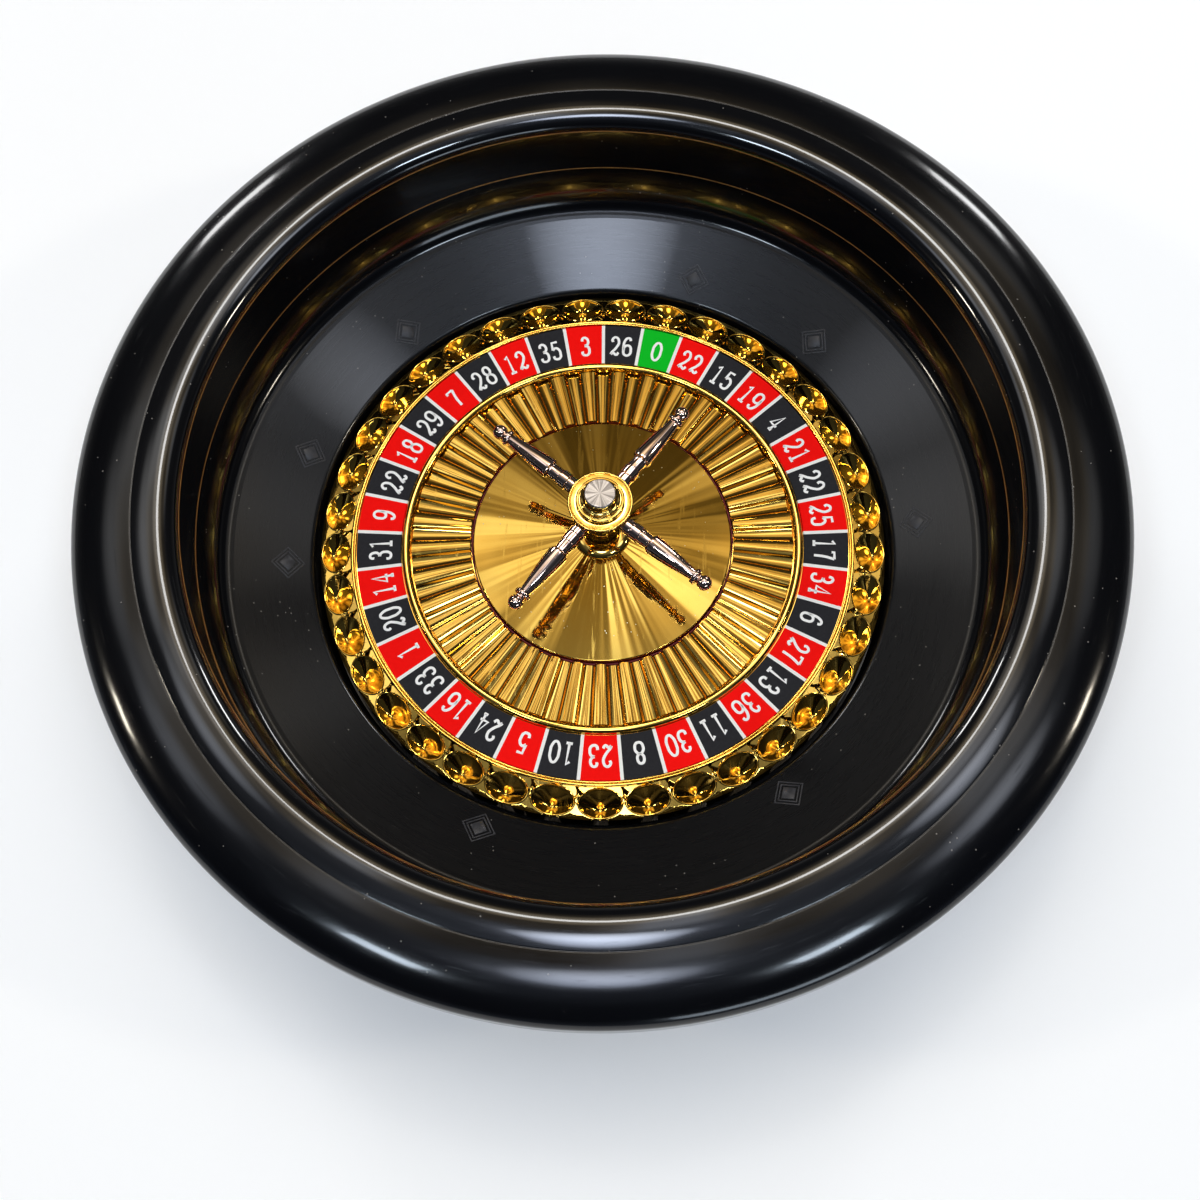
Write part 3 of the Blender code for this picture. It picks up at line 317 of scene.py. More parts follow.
def colour(red, green, blue):
    """A colour as a screen shows it, 0 to 255, as the shader wants it."""
    def line(level):
        level /= 255
        return level / 12.92 if level <= 0.04045 else ((level + 0.055) / 1.055) ** 2.4

    return (line(red), line(green), line(blue), 1)


# %% [markdown]
# ## The wheel's sizes
# These repeat the part's own sizes in millimetres, so that each new piece lies exactly where its
# solid does. Radii are from the wheel's axis, heights are from the table.

# %% Sizes
RIM, SKIRT, RIM_TOP = 250.0, 96.0, 105.0
BRIM_INNER, BRIM_TOP, CREST_TOP = 219.0, 117.0, 118.5
CREST, WALL, WALL_TOP, WALL_FOOT = 208.5, 198.0, 111.0, 80.0
TRACK, TRACK_FOOT, WELL, LIP = 187.5, 52.0, 147.8, 37.5
WELL_FLOOR, SHELL = 14.3, 3.0
CELLS = 37
ZERO_TURN = math.radians(75.4)
PITCH = math.tau / CELLS

built = []


def show(piece, look, body, slot, *nodes):
    """Gives a finished piece its material and its body, and hides the solids that it stands for. The slot is not
    used.
    """
    piece.data.materials.clear()
    piece.data.materials.append(look)
    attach(piece, body)
    if nodes:
        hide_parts(*nodes)
    built.append(piece)
    print(piece.name, len(piece.data.polygons), "faces on", body)
    return piece


# %% [markdown]
# ## Black plastic
# The bowl is moulded in black plastic and polished. Two layers of gloss make it look wet: a soft
# one in the plastic, which gives broad hazy lights, and a thin clear one, which gives sharp lines.
# The apron is hazier than the brim, since the ball has rolled down it so often. Fine scratches and
# dust keep it from looking like a computer's idea of black.

# %% Bowl finish
def make_black():
    look = Finish("black_plastic", Coat_Roughness=0.03, Coat_IOR=1.5, Specular_IOR_Level=0.36)
    radius, turn, height = look.polar()
    cloud = look.noise(14, 4)
    body = look.blend(cloud, colour(4, 4, 6), colour(8, 9, 12))
    dots = look.node("ShaderNodeTexVoronoi", {"feature": "F1"}, {"Vector": look.place(), "Scale": 230})
    dust = (dots < 0.085) * (look.noise(43, 2) > 0.57)
    look.set("Base Color", look.blend(dust, body, colour(112, 108, 102)))
    brushed = look.noise(1, 3, vector=look.ringwise(700, 9))
    wrinkles = look.noise(1, 3, vector=look.ringwise(150, 7))
    hair = look.ramp(look.noise(1, 2, vector=look.ringwise(1700, 14)), (0.66, 0), (0.7, 1))
    apron = (radius < 0.19) * (height < 0.06)
    brim = radius > 0.2188
    wall = (radius > 0.186) * (radius < 0.2)
    look.set("Roughness", 0.1 + brushed * 0.08 + hair * 0.1 + apron * 0.14)
    look.set("Coat Weight", 0.9 - brim * 0.7 - wall * 0.65 - apron * 0.5 - dust * 0.15)
    look.bump(look.noise(20, 2) + wrinkles * (0.05 + apron * 0.2) + brushed * 0.015, 0.00018)
    return look.material


black = make_black()

# %% [markdown]
# ## The bowl
# One shell of plastic: a skirt, a domed brim, a crest, a straight inner wall, the track that the
# ball runs on, the sloping apron and the well. Its cross section is one long line, so it is drawn
# once from the outside in, given its wall by a second line 3 mm below, and spun.

# %% Bowl
def bowl_section(fine):
    """The upper surface from the skirt inwards. Fine adds the crease and rounds the edges."""
    dome = arc((BRIM_INNER, RIM_TOP), (RIM - BRIM_INNER, BRIM_TOP - RIM_TOP), 0, 90, 24 if fine else 6)
    crease = [(219.3, 117.0), (218.9, 116.75), (218.4, 117.1)] if fine else []
    shoulder = [(215.0, 117.75), (212.0, 118.3)] if fine else []
    crest = arc((CREST, WALL_TOP), (CREST - WALL, CREST_TOP - WALL_TOP), 90, 180, 14 if fine else 4)
    track = arc((TRACK, WALL_FOOT - 1.2), (11.7, 26.8), 0, -90, 20 if fine else 5)
    lip = arc((WELL + 4, LIP - 4), (4, 4), 105, 180, 8 if fine else 3)
    well = [(WELL, WELL_FLOOR + 2), (WELL - 2, WELL_FLOOR), (4.3, WELL_FLOOR)]
    return [(RIM, SKIRT)] + dome[:-1] + crease + shoulder + crest + [(WALL, WALL_FOOT)] + track + lip + well


bowl_steps = 240
upper = bowl_section(fine=True)
under = offset_left(bowl_section(fine=False), SHELL)
bowl = turn_piece("bowl", upper + under[::-1], bowl_steps, edge=0.35)
show(bowl, black, "bowl", "bowl_plastic", "bowl_shell")

# %% [markdown]
# Two thin gold lines run round the inner wall, one at its top edge and one at its foot.
# Each is a small bead, coloured golden brown and a little metallic.

# %% Pinstripes
def make_pinstripe():
    look = Finish("pinstripe_gold", Metallic=0.6)
    mottle_and_painted_highlight = look.noise(120, 3)
    look.set("Base Color", look.blend(mottle_and_painted_highlight, colour(150, 104, 44), colour(92, 60, 24)))
    look.set("Roughness", 0.3 + mottle_and_painted_highlight * 0.2)
    return look.material


pinstripe = make_pinstripe()
for name, height in (("pinstripe_upper", WALL_TOP), ("pinstripe_lower", WALL_FOOT + 0.25)):
    stripe = turn_piece(name, arc((WALL - 0.05, height), (0.3, 0.3), 0, 330, 11), bowl_steps)
    show(stripe, pinstripe, "bowl", "bowl_plastic")

# %% [markdown]
# ## Diamonds on the apron
# Eight little diamonds are moulded into the apron, as raised frames one inside the other with a
# low pyramid in the middle. They are coloured a lighter grey than the bowl, a painted highlight for
# the light that their raised edges catch. A square is inset several times, every other band is taken
# out, the middle is poked to a point, and a Solidify and a Bevel modifier make rounded ridges of it.
# The diamond is copied to its places, on the slope.

# %% Diamonds
APRON_LOW = (150.76, 37.36)  # radius and height where the lip's round begins
APRON_SLOPE = math.atan((TRACK_FOOT - APRON_LOW[1]) / (TRACK - APRON_LOW[0]))
DIAMOND_TURNS = (3.3, 45.4, 72.3, 131.1, 162.3, 184.6, 248.8, 304.4)


def apron_height(radius):
    return APRON_LOW[1] + (radius - APRON_LOW[0]) * math.tan(APRON_SLOPE)


def make_diamond():
    pick()
    bpy.ops.mesh.primitive_plane_add(size=12.5 * MM)
    plate = bpy.context.object
    plate.name = "diamond"
    bpy.ops.object.mode_set(mode="EDIT")
    for width in (0.7, 0.8, 0.7, 0.9):
        bpy.ops.mesh.inset(thickness=width * MM)
    bpy.ops.mesh.poke(offset=0.5 * MM)
    bpy.ops.object.mode_set(mode="OBJECT")

    def between_frames(middle):
        reach = max(abs(middle.x), abs(middle.y)) / MM
        return 5.0 < reach < 5.4 or 3.3 < reach < 3.8

    choose(plate, "FACE", between_frames)
    bpy.ops.mesh.delete(type="FACE")
    bpy.ops.object.mode_set(mode="OBJECT")
    apply_modifier(plate, "SOLIDIFY", thickness=0.5 * MM, offset=-1)
    apply_modifier(plate, "BEVEL", width=0.2 * MM, segments=2, limit_method="ANGLE")
    smooth(plate)
    return plate


def lay_down(piece, *turns):
    """Turns a piece by matrices and leaves the result in its mesh."""
    pick(piece)
    for turn in turns:
        piece.matrix_world = turn @ piece.matrix_world
    bpy.ops.object.transform_apply(location=True, rotation=True, scale=True)


def copy_of(piece, name):
    """A copy with its own mesh."""
    pick(piece)
    bpy.ops.object.duplicate(linked=False)
    twin = bpy.context.object
    twin.name = twin.data.name = name
    return twin


def make_worn():
    look = Finish("painted_highlight_plastic", Specular_IOR_Level=0.4)
    highlight_mottle = look.noise(500, 3)
    # Painted highlight: this grey, lighter than the bowl, stands in for the light caught by the raised edges.
    look.set("Base Color", look.blend(highlight_mottle, colour(26, 26, 28), colour(60, 60, 64)))
    look.set("Roughness", 0.3 + highlight_mottle * 0.2)
    look.bump(highlight_mottle, 0.00004)
    return look.material


mottle_and_painted_highlight = make_worn()
first = make_diamond()
for i, degrees in enumerate(DIAMOND_TURNS):
    diamond = copy_of(first, f"diamond_{i + 1}")
    radius = 160.5
    lay_down(
        diamond,
        Matrix.Rotation(math.radians(45), 4, "Z"),
        Matrix.Rotation(-APRON_SLOPE, 4, "Y"),
        Matrix.Translation((radius * MM, 0, (apron_height(radius) + 0.35) * MM)),
        Matrix.Rotation(math.radians(degrees), 4, "Z"),
    )
    show(diamond, mottle_and_painted_highlight, "bowl", "bowl_plastic")
bpy.data.objects.remove(first)

# %% [markdown]
# ## Under the bowl
# A second moulding closes the bowl from below. It is plain matt plastic, with a fine grain from
# the mould, six screws and six rubber feet.

# %% Base pan, feet and screws
def make_grained(name, dark, light, roughness):
    look = Finish(name)
    grain = look.noise(900, 2)
    cloud = look.noise(25, 3)
    look.set("Base Color", look.blend(cloud, colour(*dark), colour(*light)))
    look.set("Roughness", roughness + cloud * 0.12)
    look.bump(grain, 0.00006)
    return look.material


matt_black = make_grained("pan_plastic", (20, 20, 21), (30, 30, 31), 0.5)
rubber = make_grained("foot_rubber", (26, 26, 27), (42, 41, 40), 0.75)


def make_steel(name, tone, roughness, rings=400):
    """Turned steel: fine grooves run round it."""
    look = Finish(name, Metallic=1.0)
    radius, turn, height = look.polar()
    groove = look.node("ShaderNodeCombineXYZ", inputs={"X": radius, "Y": height, "Z": turn * 0.002})
    fine = look.noise(rings * 10, 2, vector=groove)
    look.set("Base Color", look.blend(look.noise(60, 3), colour(*tone), colour(*(t * 0.86 for t in tone))))
    look.set("Roughness", roughness + fine * 0.12)
    look.bump(fine, 0.00002)
    return look.material


steel = make_steel("bright_steel", (186, 186, 188), 0.24)

pan_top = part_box("base_pan")[1].z / MM
pan_section = [(236, pan_top), *arc((199, 12.3), (7, 7), 0, -90, 6), (22, 5.3), (22, 8.3)]
pan_section += [*arc((198, 13.3), (5, 5), -90, 0, 4), (233, pan_top)]
pan = turn_piece("base_pan_moulding", pan_section, 192, edge=0.5)
show(pan, matt_black, "bowl", "pan_plastic", "base_pan")


def around_axis(piece, count, start, body, look, slot, nodes):
    """Copies of a piece round the axis, each standing for the node of its number."""
    for i in range(count):
        twin = copy_of(piece, f"{piece.name}_{i + 1}")
        lay_down(twin, Matrix.Rotation(start + math.tau * i / count, 4, "Z"))
        show(twin, look, body, slot, nodes.format(i + 1))
    bpy.data.objects.remove(piece)


foot_section = [(0, 0), (5.2, 0), (5.6, 0.4), (6.2, 0.4), (6.6, 0), (7.8, 0)]
foot_section += [*arc((7.8, 1.2), (1.2, 1.2), -70, 0, 3), (9, 5), (0, 5)]
foot = turn_piece("rubber_foot", foot_section, 40, closed=False)
lay_down(foot, Matrix.Translation((188 * MM, 0, 0)))
around_axis(foot, 6, 0, "bowl", rubber, "foot_rubber", "foot_{}")


def make_screw(name, shank, head, depth, length, foot):
    """A pan head screw, point up, with a cross cut in its head. Foot is the height of the head's seat."""
    dome = arc((0, foot - depth * 0.45), (head, depth * 0.55), -90, 0, 8)
    screw = turn_piece(name, dome + [(head, foot), (shank, foot), (shank, foot + length), (0, foot + length)],
                       24, closed=False)
    for turn in (0, 90):
        pick()
        bpy.ops.mesh.primitive_cube_add(size=1, location=(0, 0, (foot - depth) * MM))
        blade = bpy.context.object
        blade.scale = (head * 1.1 * MM, head * 0.24 * MM, depth * 1.1 * MM)
        blade.rotation_euler.z = math.radians(turn)
        apply_modifier(screw, "BOOLEAN", object=blade, operation="DIFFERENCE", solver="EXACT")
        bpy.data.objects.remove(blade)
    smooth(screw)
    return screw


base_screw = make_screw("pan_screw", 2, 4, 2.2, 6.5, 5.0)
lay_down(base_screw, Matrix.Translation((110 * MM, 0, 0)))
around_axis(base_screw, 6, 0, "bowl", steel, "steel", "base_screw_{}")
for node in ("spindle", "spindle_washer", "spindle_nut", "bearing_inner_ring"):
    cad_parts[node].data.materials.clear()
    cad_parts[node].data.materials.append(steel)

# %% [markdown]
# ## Gold
# The head is zinc or plastic with a gold plating that is polished until it mirrors. Its colour
# comes from what it reflects, so the metal only needs its own tint, a little unevenness that
# bends the reflections, and the fine scratches and dust of use.

# %% Gold finishes
def make_gold(name, tone, roughness, ripple=0.00012, rays=0.0, ray_depth=0.0, specks=0.0):
    """Plated metal. Rays adds fine streaks that run outwards from the axis."""
    look = Finish(name, Metallic=1.0)
    radius, turn, height = look.polar()
    cloud = look.noise(45, 3)
    deep = tuple(level * share for level, share in zip(tone, (0.93, 0.87, 0.72)))
    tint = look.blend(cloud, colour(*tone), colour(*deep))
    scratch = look.noise(420, 2, stretch=(1, 0.08, 0.2))
    hair = look.ramp(scratch, (0.62, 0), (0.68, 1))
    rough = roughness + cloud * 0.04 + hair * 0.08
    if specks:
        dots = look.node("ShaderNodeTexVoronoi", {"feature": "F1"}, {"Vector": look.place(), "Scale": 330})
        dust = (dots < 0.1) * (look.noise(70, 2) > 0.56)
        tint = look.blend(dust, tint, colour(232, 216, 168))
        rough = rough + dust * specks
    look.set("Base Color", tint)
    look.set("Roughness", rough)
    made = look.bump(look.noise(60, 1), ripple)
    if rays:
        flat = look.node("ShaderNodeCombineXYZ", inputs={"X": turn.maths("COSINE"), "Y": turn.maths("SINE"),
                                                         "Z": radius * 0.3})
        streak = look.noise(rays, 2, vector=flat)
        look.bump(streak, ray_depth, normal=made)
    return look.material


gold = make_gold("gold_plating", (244, 204, 104), 0.05, ripple=0.00002)
flute_gold = make_gold("streaked_gold", (246, 204, 104), 0.06, ripple=0.00004, rays=40, ray_depth=0.00012)
cone_gold = make_gold("polished_gold", (246, 206, 102), 0.045, ripple=0.00003, rays=4, ray_depth=0.0004,
                      specks=0.25)

# %% [markdown]
# ## Wheel head: the plate
# All of the head's round steps are one turned piece: the double bead round the numbers, the seat
# of the number ring, the inner bead and the seat under the flutes and the cone. A ledge at its edge
# carries the ring of cups.

# %% Head plate
HEAD_RIM, HEAD_LEVEL, NUMBER_LEVEL = 144.8, 36.0, 39.0
NUMBER_OUTER, NUMBER_INNER, BAND_INNER, LEDGE = 126.0, 103.2, 128.9, 132.7
BAND_SLOPE = (NUMBER_LEVEL - HEAD_LEVEL) / 18.5


def band_height(radius):
    return HEAD_LEVEL + (HEAD_RIM - radius) * BAND_SLOPE


plate_section = [(LEDGE, 24), (LEDGE, 26.7), (BAND_INNER, 26.7), (BAND_INNER, band_height(BAND_INNER))]
plate_section += arc((128.15, 38.85), (0.75, 0.65), 0, 180, 8)
plate_section += arc((126.85, 39.2), (0.55, 0.6), 0, 180, 8)
plate_section += [(126.3, 37.9), (102.9, 37.9)]
plate_section += arc((100.65, NUMBER_LEVEL), (2.25, 2.2), 0, 180, 16)
plate_section += [(98.4, 34.5), (57.9, 34.5), (54.4, 38), (14.9, 38), (14.9, 31), (118, 31), (122, 24)]
plate = turn_piece("head_plate", plate_section, 222)
show(plate, gold, "wheel_head", "rotor_gold", "rotor_pan")

# %% [markdown]
# ## Wheel head: the cups
# Each number has a cup that the ball drops into, between two little gussets. One cup is a circle
# stretched to an oval and extruded ring by ring, outwards to the borders of its share of the band
# and inwards down to its lowest point. Each ring is also moved a little outwards, so that the cup
# is a scoop, deepest at its outer side, where the ball comes to rest against it. The outermost
# rings make the thin raised lip. The share is then spun into 37 copies, whose borders fit.

# %% Cup band
CUP_CIRCLE, CUP_REACH, CUP_SIDE, RING_INNER = 136.9, 6.9, 10.3, 129.2
CUP_DEPTH, CUP_SHIFT = 6.4, 2.2
CUP_SPOKES = 40


def ring_out(scale, drop, centre=CUP_CIRCLE, slide=0.0):
    """Extrudes the chosen ring of edges, scales it about its centre, and moves it outwards and up."""
    bpy.ops.mesh.extrude_edges_move()
    bpy.ops.transform.resize(value=(scale, scale, 1), center_override=(centre * MM, 0, 0))
    bpy.ops.transform.translate(value=(slide * MM, 0, drop * MM))


def border_point(turn, inset):
    """Where a line from the cup's centre meets the border of its share, drawn in by the inset."""
    across = math.cos(turn) * CUP_REACH
    along = math.sin(turn) * CUP_SIDE
    half = PITCH / 2 * CUP_CIRCLE
    inner, outer = CUP_CIRCLE - RING_INNER, HEAD_RIM - CUP_CIRCLE
    reach = outer if across > 0 else inner
    grow = min(reach / max(abs(across), 0.001), half / max(abs(along), 0.001))
    if abs(abs(across) * grow - reach) < 0.9 and abs(abs(along) * grow - half) < 0.9:
        across, along = math.copysign(reach, across), math.copysign(half, along)
        grow = 1
    radius = CUP_CIRCLE + across * grow
    side = math.copysign(max(abs(along * grow) - inset, 0), along)
    radius = min(max(radius, RING_INNER + inset * 0.5), HEAD_RIM - inset * 0.5)
    return radius, side / CUP_CIRCLE


def make_cup():
    pick()
    bpy.ops.mesh.primitive_circle_add(vertices=CUP_SPOKES, radius=MM, location=(0, 0, 0))
    cup = bpy.context.object
    cup.name = cup.data.name = "cup_band"
    bpy.ops.object.mode_set(mode="EDIT")
    bpy.ops.transform.resize(value=(CUP_REACH * 1.1, CUP_SIDE * 1.1, 1), center_override=(0, 0, 0))
    bpy.ops.transform.translate(value=(CUP_CIRCLE * MM, 0, 0))
    ring_out(1.07 / 1.1, 0.36)
    ring_out(1.05 / 1.07, 0.1)
    ring_out(1.03 / 1.05, -0.04)
    ring_out(1.0 / 1.03, -0.36)
    ring_out(0.98, -0.12)
    scale, depth, centre = 0.98, 0.06, CUP_CIRCLE
    for new_scale in (0.94, 0.87, 0.78, 0.68, 0.57, 0.46, 0.36, 0.26, 0.17, 0.09, 0.04):
        new_depth = CUP_DEPTH * (1 - new_scale ** 1.3)
        new_centre = CUP_CIRCLE + CUP_SHIFT * (1 - new_scale)
        ring_out(new_scale / scale, depth - new_depth, centre, new_centre - centre)
        scale, depth, centre = new_scale, new_depth, new_centre
    bpy.ops.mesh.extrude_edges_move()
    bpy.ops.mesh.merge(type="CENTER")
    bpy.ops.object.mode_set(mode="OBJECT")
    return cup


def add_border(cup):
    """Two rings outside the cup: one on the band, one on the border where the gussets stand."""
    def on_edge(middle):
        across, along = (middle.x / MM - CUP_CIRCLE) / CUP_REACH, middle.y / MM / CUP_SIDE
        return math.hypot(across, along) > 1.085

    for inset in (0.45, 0.0):
        choose(cup, "EDGE", on_edge)
        bpy.ops.mesh.extrude_edges_move()
        bpy.ops.object.mode_set(mode="OBJECT")
        for vert in cup.data.vertices:
            if not vert.select:
                continue
            across = (vert.co.x / MM - CUP_CIRCLE) / CUP_REACH
            turn = math.atan2(vert.co.y / MM / CUP_SIDE, across)
            radius, side = border_point(turn, inset)
            rise = 0.0
            if inset == 0.0 and abs(side) > PITCH / 2 - 1e-6:
                rise = 0.8 * max(0.0, min(1.0, (135.4 - radius) / 4)) * min(1.0, (radius - RING_INNER) / 0.8 + 0.4)
            vert.co = Vector((radius * math.cos(side), radius * math.sin(side), rise)) * MM

        def on_edge(middle, inset=inset):
            radius = math.hypot(middle.x, middle.y) / MM
            side = abs(math.atan2(middle.y, middle.x)) * CUP_CIRCLE
            return (radius < RING_INNER + inset or radius > HEAD_RIM - inset
                    or side > PITCH / 2 * CUP_CIRCLE - inset - 0.05)


cup_band = make_cup()
add_border(cup_band)
print("one cup:", len(cup_band.data.polygons), "faces")

# %% Spin the cups round and close the band
pick(cup_band)
bpy.ops.object.mode_set(mode="EDIT")
bpy.ops.mesh.select_all(action="SELECT")
bpy.ops.mesh.spin(dupli=True, steps=CELLS - 1, angle=math.tau * (CELLS - 1) / CELLS, center=(0, 0, 0),
                  axis=(0, 0, 1))
bpy.ops.object.mode_set(mode="OBJECT")
for vert in cup_band.data.vertices:
    vert.co.z += band_height(math.hypot(vert.co.x, vert.co.y) / MM) * MM
weld(cup_band)


def rim_edge(middle):
    return math.hypot(middle.x, middle.y) / MM > HEAD_RIM - 0.3 and middle.z / MM > 30


choose(cup_band, "EDGE", rim_edge)
chamfer, ledge = HEAD_RIM - 1.4, LEDGE + 0.3
shrink = [(1, -1.0), (1, -9.6), (chamfer / HEAD_RIM, -1.4), (ledge / chamfer, 0), (1, 3.0), (RING_INNER / ledge, 0)]
for scale, drop in shrink:
    bpy.ops.mesh.extrude_edges_move()
    bpy.ops.transform.resize(value=(scale, scale, 1), center_override=(0, 0, 0))
    bpy.ops.transform.translate(value=(0, 0, drop * MM))
bpy.ops.object.mode_set(mode="OBJECT")


def open_edge(middle):
    return math.hypot(middle.x, middle.y) / MM < RING_INNER + 0.05


choose(cup_band, "EDGE", open_edge)
bpy.ops.mesh.bridge_edge_loops()
bpy.ops.object.mode_set(mode="OBJECT")
weld(cup_band)
lay_down(cup_band, Matrix.Rotation(ZERO_TURN, 4, "Z"))
smooth(cup_band, 26)
show(cup_band, gold, "wheel_head", "rotor_gold", "cup_ring")

# %% [markdown]
# ## Wheel head: the numbers
# The printed ring has 37 cells, red and black in turn and one green, with white lines between.
# The cells are colour only, so they are painted by the angle round the axis. The digits are
# drawn as strokes: a curve with a thin round section, made a mesh and pressed nearly flat.

# %% Number ring
def make_cells():
    look = Finish("number_print", Specular_IOR_Level=0.06)
    radius, turn, height = look.polar()
    along = (turn - ZERO_TURN) / PITCH + (0.5 + 2 * CELLS)
    cell = along.maths("FLOOR").maths("MODULO", CELLS)
    part = along.maths("FRACT")
    from_line = part.maths("MINIMUM", 1 - part) * radius * PITCH
    grain = look.noise(700, 2)
    red = look.blend(grain, colour(252, 10, 4), colour(242, 6, 2))
    dark = look.blend(grain, colour(33, 33, 36), colour(44, 44, 47))
    ink = look.blend(cell.maths("MODULO", 2), red, dark)
    ink = look.blend(cell < 0.5, ink, colour(4, 186, 34))
    ink = look.blend(from_line < 0.00085, ink, colour(240, 238, 232))
    look.set("Base Color", ink)
    look.set("Roughness", 0.5 + grain * 0.1)
    look.bump(grain, 0.00002)
    return look.material


section = [(NUMBER_OUTER, 38.2), (NUMBER_OUTER, 39), (NUMBER_INNER, 39), (NUMBER_INNER, 38.2)]
number_ring = turn_piece("printed_ring", section, 222, edge=0.12)
show(number_ring, make_cells(), "wheel_head", "number_print", "number_ring")

# %% [markdown]
# Each digit is one to three strokes through a few points, on a field one wide and one high.
# A closed stroke ends where it starts, and a cornered one has straight runs.

# %% Digits
DIGIT_WIDTH, DIGIT_HEIGHT, DIGIT_STROKE, DIGIT_STEP = 4.3, 10.7, 0.7, 6.5
ROUND, CORNER, CLOSED = "round", "corner", "closed"
STROKES = {
    "0": [(CLOSED, (0, 1), (0.42, 0.8), (0.5, 0.5), (0.42, 0.2), (0, 0), (-0.42, 0.2), (-0.5, 0.5), (-0.42, 0.8))],
    "1": [(CORNER, (-0.36, 0.86), (0, 1), (0, 0)), (CORNER, (-0.36, 0), (0.36, 0))],
    "2": [(ROUND, (-0.3, 0.72), (-0.42, 0.84), (0, 1), (0.42, 0.76), (0.16, 0.42), (-0.4, 0.1), (-0.46, 0.02)),
          (ROUND, (-0.46, 0.02), (-0.16, 0.1), (0.2, 0), (0.46, 0.14))],
    "3": [(ROUND, (-0.36, 0.8), (-0.3, 0.95), (0.02, 1), (0.38, 0.8), (0.24, 0.6), (-0.08, 0.54)),
          (ROUND, (-0.08, 0.54), (0.3, 0.48), (0.46, 0.26), (0.3, 0.05), (0, 0), (-0.36, 0.06), (-0.42, 0.22))],
    "4": [(CORNER, (0.2, 0), (0.2, 1), (-0.48, 0.3), (0.5, 0.3)), (CORNER, (-0.04, 0), (0.44, 0))],
    "5": [(CORNER, (0.38, 0.97), (-0.3, 0.97), (-0.36, 0.54)),
          (ROUND, (-0.36, 0.54), (0, 0.64), (0.4, 0.5), (0.46, 0.28), (0.3, 0.05), (0, 0), (-0.36, 0.06), (-0.42, 0.2))],
    "6": [(ROUND, (0.36, 0.84), (0.3, 0.96), (0.04, 1), (-0.34, 0.84), (-0.47, 0.5), (-0.46, 0.3), (-0.36, 0.08),
           (0, 0), (0.38, 0.1), (0.46, 0.3), (0.34, 0.52), (0, 0.58), (-0.36, 0.48), (-0.46, 0.3))],
    "7": [(CORNER, (-0.42, 0.84), (-0.42, 0.97), (0.46, 0.97)), (ROUND, (0.46, 0.97), (0.14, 0.5), (0.02, 0))],
    "8": [(CLOSED, (0, 0.54), (0.32, 0.64), (0.38, 0.8), (0.24, 0.96), (0, 1), (-0.24, 0.96), (-0.38, 0.8), (-0.32, 0.64)),
          (CLOSED, (0, 0.54), (0.4, 0.42), (0.48, 0.24), (0.3, 0.04), (0, 0), (-0.3, 0.04), (-0.48, 0.24), (-0.4, 0.42))],
}
STROKES["9"] = [(kind, *((-x, 1 - y) for x, y in points)) for kind, *points in STROKES["6"]]


def draw_digit(digit):
    """A digit that stands at the origin, as a mesh."""
    curve = bpy.data.curves.new("digit_" + digit, "CURVE")
    curve.dimensions = "3D"
    curve.bevel_depth = DIGIT_STROKE * MM
    curve.bevel_resolution = 1
    curve.resolution_u = 4
    curve.use_fill_caps = True
    for kind, *points in STROKES[digit]:
        spline = curve.splines.new("BEZIER")
        spline.bezier_points.add(len(points) - 1)
        spline.use_cyclic_u = kind == CLOSED
        for knot, (x, y) in zip(spline.bezier_points, points):
            knot.co = Vector((x * DIGIT_WIDTH, y * DIGIT_HEIGHT, 0)) * MM
            knot.handle_left_type = knot.handle_right_type = "VECTOR" if kind == CORNER else "AUTO"
    drawn = bpy.data.objects.new("digit_" + digit, curve)
    bpy.context.scene.collection.objects.link(drawn)
    pick(drawn)
    bpy.ops.object.convert(target="MESH")
    lay_down(drawn, Matrix.Diagonal((1, 1, 0.22, 1)))
    return drawn


WHEEL_ORDER = (0, 22, 15, 19, 4, 21, 22, 25, 17, 34, 6, 27, 13, 36, 11, 30, 8, 23, 10, 5, 24, 16, 33, 1, 20, 14,
               31, 9, 22, 18, 29, 7, 28, 12, 35, 3, 26)
DIGIT_FOOT = 108.3


def make_white():
    look = Finish("digit_paint", Specular_IOR_Level=0.06)
    grain = look.noise(600, 2)
    look.set("Base Color", look.blend(grain, colour(250, 249, 246), colour(238, 237, 233)))
    look.set("Roughness", 0.4 + grain * 0.1)
    return look.material


alphabet = {digit: draw_digit(digit) for digit in STROKES}
written = []
for i, number in enumerate(WHEEL_ORDER):
    text = str(number)
    turn = ZERO_TURN - PITCH * i
    for j, digit in enumerate(text):
        stamp = copy_of(alphabet[digit], f"stamp_{i}_{j}")
        side = (j - (len(text) - 1) / 2) * DIGIT_STEP
        lay_down(
            stamp,
            Matrix.Translation(Vector((side, DIGIT_FOOT, NUMBER_LEVEL + 0.02)) * MM),
            Matrix.Rotation(turn - math.radians(90), 4, "Z"),
        )
        written.append(stamp)
for stamp in alphabet.values():
    bpy.data.objects.remove(stamp)
pick(*written)
bpy.ops.object.join()
numbers = bpy.context.object
numbers.name = numbers.data.name = "cell_numbers"
weld(numbers)
smooth(numbers)
show(numbers, make_white(), "wheel_head", "number_print")

# %% [markdown]
# ## Wheel head: the fluted ring
# Between the numbers and the cone stands a ring of 37 raised plates with rounded grooves between.
# A strip of grid is bent to one plate's outline and spun round, like the cups.

# %% Fluted ring
FLUTE_OUTER, FLUTE_INNER, FLUTE_FOOT = 98.1, 67.2, 34.8
FLUTE_OUTER_TOP, FLUTE_INNER_TOP, RIB_HEIGHT = 37.4, 39.8, 2.0
HALF_RIB = (0.03, 0.08, 0.126, 0.138, 0.15, 0.19, 0.225, 0.242, 0.256, 0.268, 0.31, 0.325, 0.38, 0.45, 0.5)
FLUTE_LINES = [-part for part in HALF_RIB[::-1]] + list(HALF_RIB)
FLUTE_ROWS = 6


